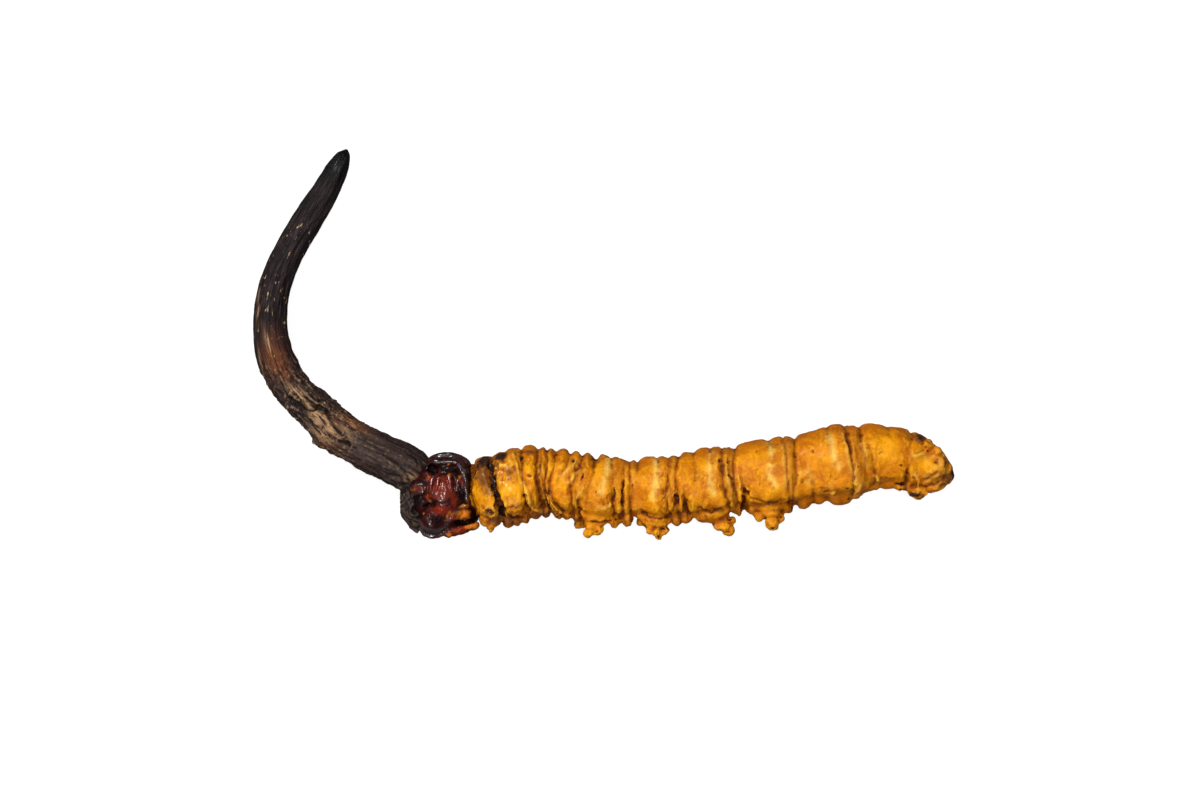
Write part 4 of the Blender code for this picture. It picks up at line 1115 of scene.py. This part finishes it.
stalkPits = [
    (-22.95, -4.45, 0.5, 0.22, -30, 0.3, 1.0), (-21.3, -4.15, 0.26, 0.2, 0, 0.2, 1.0),
    (-20.75, -4.95, 0.26, 0.2, -40, 0.22, 1.0), (-19.1, -7.3, 0.3, 0.18, -30, 0.24, 1.0),
    (*stroma["pit"], 0.26, 0.26, 0, 0.36, 1.0),
]
stalkPatches = {
    "rust": [(-24.6, -1.1, 0.8, 1.3, 20, 1.2), (-23.9, -2.1, 0.4, 0.7, 30, 1.0),
             (-18.6, -5.95, 1.1, 0.3, -33, 1.2),
             (-19.9, -5.8, 0.9, 0.5, -40, 0.5), (-20.6, -7.4, 1.0, 0.5, -35, 0.5),
             (-24.9, 0.3, 0.7, 1.0, 10, 0.5)],
    "tan": [(-22.7, -3.8, 1.1, 0.35, -40, 0.9), (-21.3, -5.4, 0.6, 0.9, 30, 0.9),
            (-20.4, -6.2, 0.35, 0.8, 35, 1.0),
            (-21.0, -6.7, 0.9, 0.5, -40, 0.7), (-22.0, -4.4, 0.8, 0.4, -40, 0.8),
            (-25.1, 0.0, 0.16, 0.9, 14, 0.9),
            (-14.4, -9.9, 0.6, 0.4, 0, 0.4), (-19.3, -6.6, 0.5, 0.8, 30, 0.35),
            (-25.9, 3.0, 0.12, 1.3, -4, 0.7), (-25.75, -1.2, 0.1, 1.0, 10, 0.6),
            (-19.0, -5.75, 1.2, 0.18, -30, 0.7)],
    "ash": [(-18.0, -7.7, 2.2, 0.9, -28, 1.0), (-15.4, -9.2, 1.6, 1.0, -28, 0.65),
            (-14.3, -12.0, 0.9, 2.0, 0, 0.8),
            (-21.9, -5.2, 1.2, 0.8, -40, 0.6)],
}
stalkLine = smoothLine(stroma["line"], 24)
stalkAlong, stalkAcross, stalkUpright = acrossLine(stalkLine[:, :3])
stalkRun = np.concatenate([[0], np.cumsum(np.linalg.norm(np.diff(stalkLine[:, :3], axis=0), axis=1))])


def stalkPlace(points):
    # distance from the tip along the stalk, and where round it each point is
    nearest = np.empty(len(points), int)
    batch = 4000  # points at a time, to keep the table of distances small
    for first in range(0, len(points), batch):
        gaps = points[first:first + batch, None, :2] - stalkLine[None, :, :2]
        nearest[first:first + batch] = (gaps**2).sum(2).argmin(1)
    away = points - stalkLine[nearest, :3]
    across = (away * stalkAcross[nearest]).sum(1)
    upright = (away * stalkUpright[nearest]).sum(1)
    run = stalkRun[nearest] + (away * stalkAlong[nearest]).sum(1)
    reach = np.maximum(np.hypot(across, upright), 1e-6)
    return run, across / reach, upright / reach


def makeStroma():
    shapes = [strand(stroma["line"], 64, 12), *(lobe(*row) for row in stroma["lobes"])]
    shapes += [strand(rows, 14) for rows in stroma["collar"] + stroma["bark"]]
    piece, edges, points, normals = startPiece("stalk", shapes, stroma["voxel"], 3)
    faceUp = ramp(normals[:, 2], -0.1, 0.35)
    run, across, upright = stalkPlace(points)
    length = stalkRun[-1]
    rough = ramp(run, 15.5, 19.5) * (1 - 0.55 * ramp(run, 25, 28))  # bark-like past the bend
    round3 = np.column_stack([run, 1.4 * across, 1.4 * upright])
    ribs = grit(round3, 0.34, 3, seed=21, stretch=(0.1, 1, 1))
    broadRibs = grit(round3, 0.8, 2, seed=22, stretch=(0.14, 1, 1))
    lumps = grit(points, 0.7, 4, seed=23)
    relief = (0.07 + 0.05 * rough) * ribs + 0.07 * broadRibs * ramp(run, 1.0,
        4.0) + (0.02 + 0.14 * rough) * lumps
    relief -= 0.1 * rough * np.abs(grit(round3, 0.55, 3, seed=24, stretch=(0.4, 1, 1)))
    # the collar is wrinkled in rings round its pit
    pitX, pitY = stroma["pit"]
    fromPit = np.hypot(points[:, 0] - pitX, points[:, 1] - pitY) + 0.2 * grit(points, 0.7, 3, seed=25)
    nearPit = (1 - ramp(fromPit, 0.9, 1.7)) * ramp(points[:, 2], 0.6, 1.6)
    ring = np.cos(2 * math.pi * (fromPit - 0.42) / stroma["ringGap"])
    relief += nearPit * (0.07 * ring + 0.08 * grit(points, 0.4, 3, seed=26))
    relief *= ramp(run, 0.0, 2.5) * 0.85 + 0.15
    # dark: painted shade in the cracks and pits
    dark = np.zeros(len(points))
    uneven = 1 + 0.6 * grit(points, 0.3, 2, seed=25)
    for path, depth, width in stalkCracks:
        mask = groove(points, path, width) * faceUp
        relief -= depth * mask * uneven
        dark = np.maximum(dark, mask * min(1, 3.5 * depth))
    for px, py, rx, ry, turn, depth, darkness in stalkPits:
        mask = spot(points, px, py, rx, ry, turn) * faceUp
        relief -= depth * mask
        dark = np.maximum(dark, darkness * mask)
    points += normals * relief[:, None]
    normals = normalsOf(piece, points)
    fine = hollowness(points, normals, edges, 3)
    putPlaces(piece, "place", points)
    putPlaces(piece, "round", round3)
    putMasks(
        piece,
        run=run / length,
        # painted shade in the fine hollows, cracks and pits
        crease=ramp(fine, 0.002, 0.02) + dark,
        # painted light: the crowns of the bark are lightened
        crown=ramp(-fine, 0.002, 0.018),
        rough=rough * (1 - 0.8 * nearPit),
        **{name: patchMask(points, patches) * faceUp for name, patches in stalkPatches.items()},
    )
    finishPiece(piece, points, "stroma", stromaFlesh())


fleshColours = {
    "black": (0.002, 0.002, 0.002), "char": (0.01, 0.006, 0.007), "brown": (0.045, 0.026, 0.021),
    "rust": (0.125, 0.034, 0.011), "tan": (0.52, 0.3, 0.15), "ash": (0.066, 0.044, 0.035),
    "crease": (0.003, 0.002, 0.002), "fleck": (0.7, 0.48, 0.26), "plum": (0.04, 0.025, 0.026),
}


def stromaFlesh():
    r = Recipe("stroma flesh", fleshColours, "black", Specular_IOR_Level=0.13, Coat_Roughness=0.16)
    run = r.mask("run")
    round3 = r.places("round")
    fibre = r.noise(0.16, 4, 0.6, places=round3, stretch=(0.12, 1, 1))
    band = r.noise(0.6, 3, 0.6, places=round3, stretch=(0.15, 1, 1))
    dash = r.noise(0.2, 2, 0.5, places=round3, stretch=(0.35, 1, 1))
    mottle = r.noise(0.35, 4, 0.65)
    grain = r.noise(0.12, 3, 0.6)
    r.tint(r.between(run, 0.02, 0.16), "char")
    r.tint(r.between(fibre, 0.46, 0.66) * r.between(run, 0.04, 0.12), "plum")
    r.tint(r.between(run, 0.4, 0.62) * r.between(band, 0.35, 0.65), "brown")
    r.tint((r.mask("rust") * (fibre + 0.45)).clamped(), "rust")
    r.tint((r.mask("ash") * r.between(fibre, 0.38, 0.6)).clamped() * 0.9, "ash")
    r.tint(r.mask("tan") * r.between(fibre, 0.4, 0.58), "tan")
    # painted light: tan on the crowns of the bark
    r.tint(r.mask("crown") * r.mask("rough") * r.between(mottle, 0.44, 0.64) * 0.6, "tan")
    # painted shade in the hollows, cracks and pits
    r.tint((r.mask("crease") * 0.9).clamped(), "crease")
    fleck = r.between(dash, 0.63, 0.7) * r.between(r.noise(1.3, 2, 0.5), 0.46, 0.6)
    r.tint(fleck * r.between(run, 0.1, 0.2) * (1 - r.between(run, 0.5, 0.56)) * 0.7, "fleck")
    glossyTip = (1 - r.between(run, 0.01, 0.07)) * 0.2
    dull = r.between(run, 0.0, 0.15) * 0.25 + grain * 0.3 + 0.18
    return r.finish(dull, glossyTip, fibre + grain * 0.35 + band * 0.4, 0.11)


stage = {
    "floorSize": 0.6,
    "lens": 100,
    "frameWidth": 0.09,       # width of the view at the specimen's middle height
    "viewCentre": (-0.00026, -0.00414),
    "lightsAim": (0, -0.004, 0.002),
    "worldStrength": 0.12,
    # place, size, power
    "lights": {
        "key": ((-0.17, 0.2, 0.3), 0.07, 1.1),
        "overhead": ((0.03, 0.01, 0.42), 0.1, 0.8),
        "fill": ((-0.1, -0.22, 0.24), 0.06, 0.25),
    },
}


def makeFloor():
    bpy.ops.mesh.primitive_plane_add(size=stage["floorSize"], location=(0, 0, 0))
    floor = bpy.context.object
    floor.name = "floor"
    r = Recipe("pale floor", {"grey": (0.22, 0.22, 0.22)}, "grey",
               Roughness=0.9, Specular_IOR_Level=0.0, Emission_Strength=0.88)
    r.feed(r.shader.inputs["Base Color"], r.colour)
    r.feed(r.shader.inputs["Emission Color"], (1, 1, 1))
    floor.data.materials.append(r.material)
    floor.visible_diffuse = False  # a lit table, but its white doesn't flood the specimen from below
    floor.visible_glossy = False


def softLight(name, place, size, power):
    data = bpy.data.lights.new(name, "AREA")
    data.shape = "SQUARE"
    data.size = size
    data.energy = power
    light = bpy.data.objects.new(name, data)
    light.location = place
    light.rotation_euler = (Vector(stage["lightsAim"]) - Vector(place)).to_track_quat("-Z", "Y").to_euler()
    light.visible_camera = False
    bpy.context.scene.collection.objects.link(light)


def makeCamera():
    data = bpy.data.cameras.new("camera")
    data.lens = stage["lens"]
    data.clip_start = 0.01
    camera = bpy.data.objects.new("camera", data)
    height = stage["frameWidth"] * data.lens / data.sensor_width
    middle = (cadBox[0][2] + cadBox[1][2]) / 2
    camera.location = (*stage["viewCentre"], middle + height)
    bpy.context.scene.collection.objects.link(camera)
    bpy.context.scene.camera = camera


def makeStage():
    makeFloor()
    for name, (place, size, power) in stage["lights"].items():
        softLight(name, place, size, power)
    world = bpy.data.worlds.new("studio")
    world.use_nodes = True
    world.node_tree.nodes["Background"].inputs["Color"].default_value = (1, 1, 1, 1)
    world.node_tree.nodes["Background"].inputs["Strength"].default_value = stage["worldStrength"]
    bpy.context.scene.world = world
    bpy.context.scene.view_settings.view_transform = "Standard"


makeCamera()
makeStage()
makeBody()
makeHead()
makeStroma()
print("pieces made")
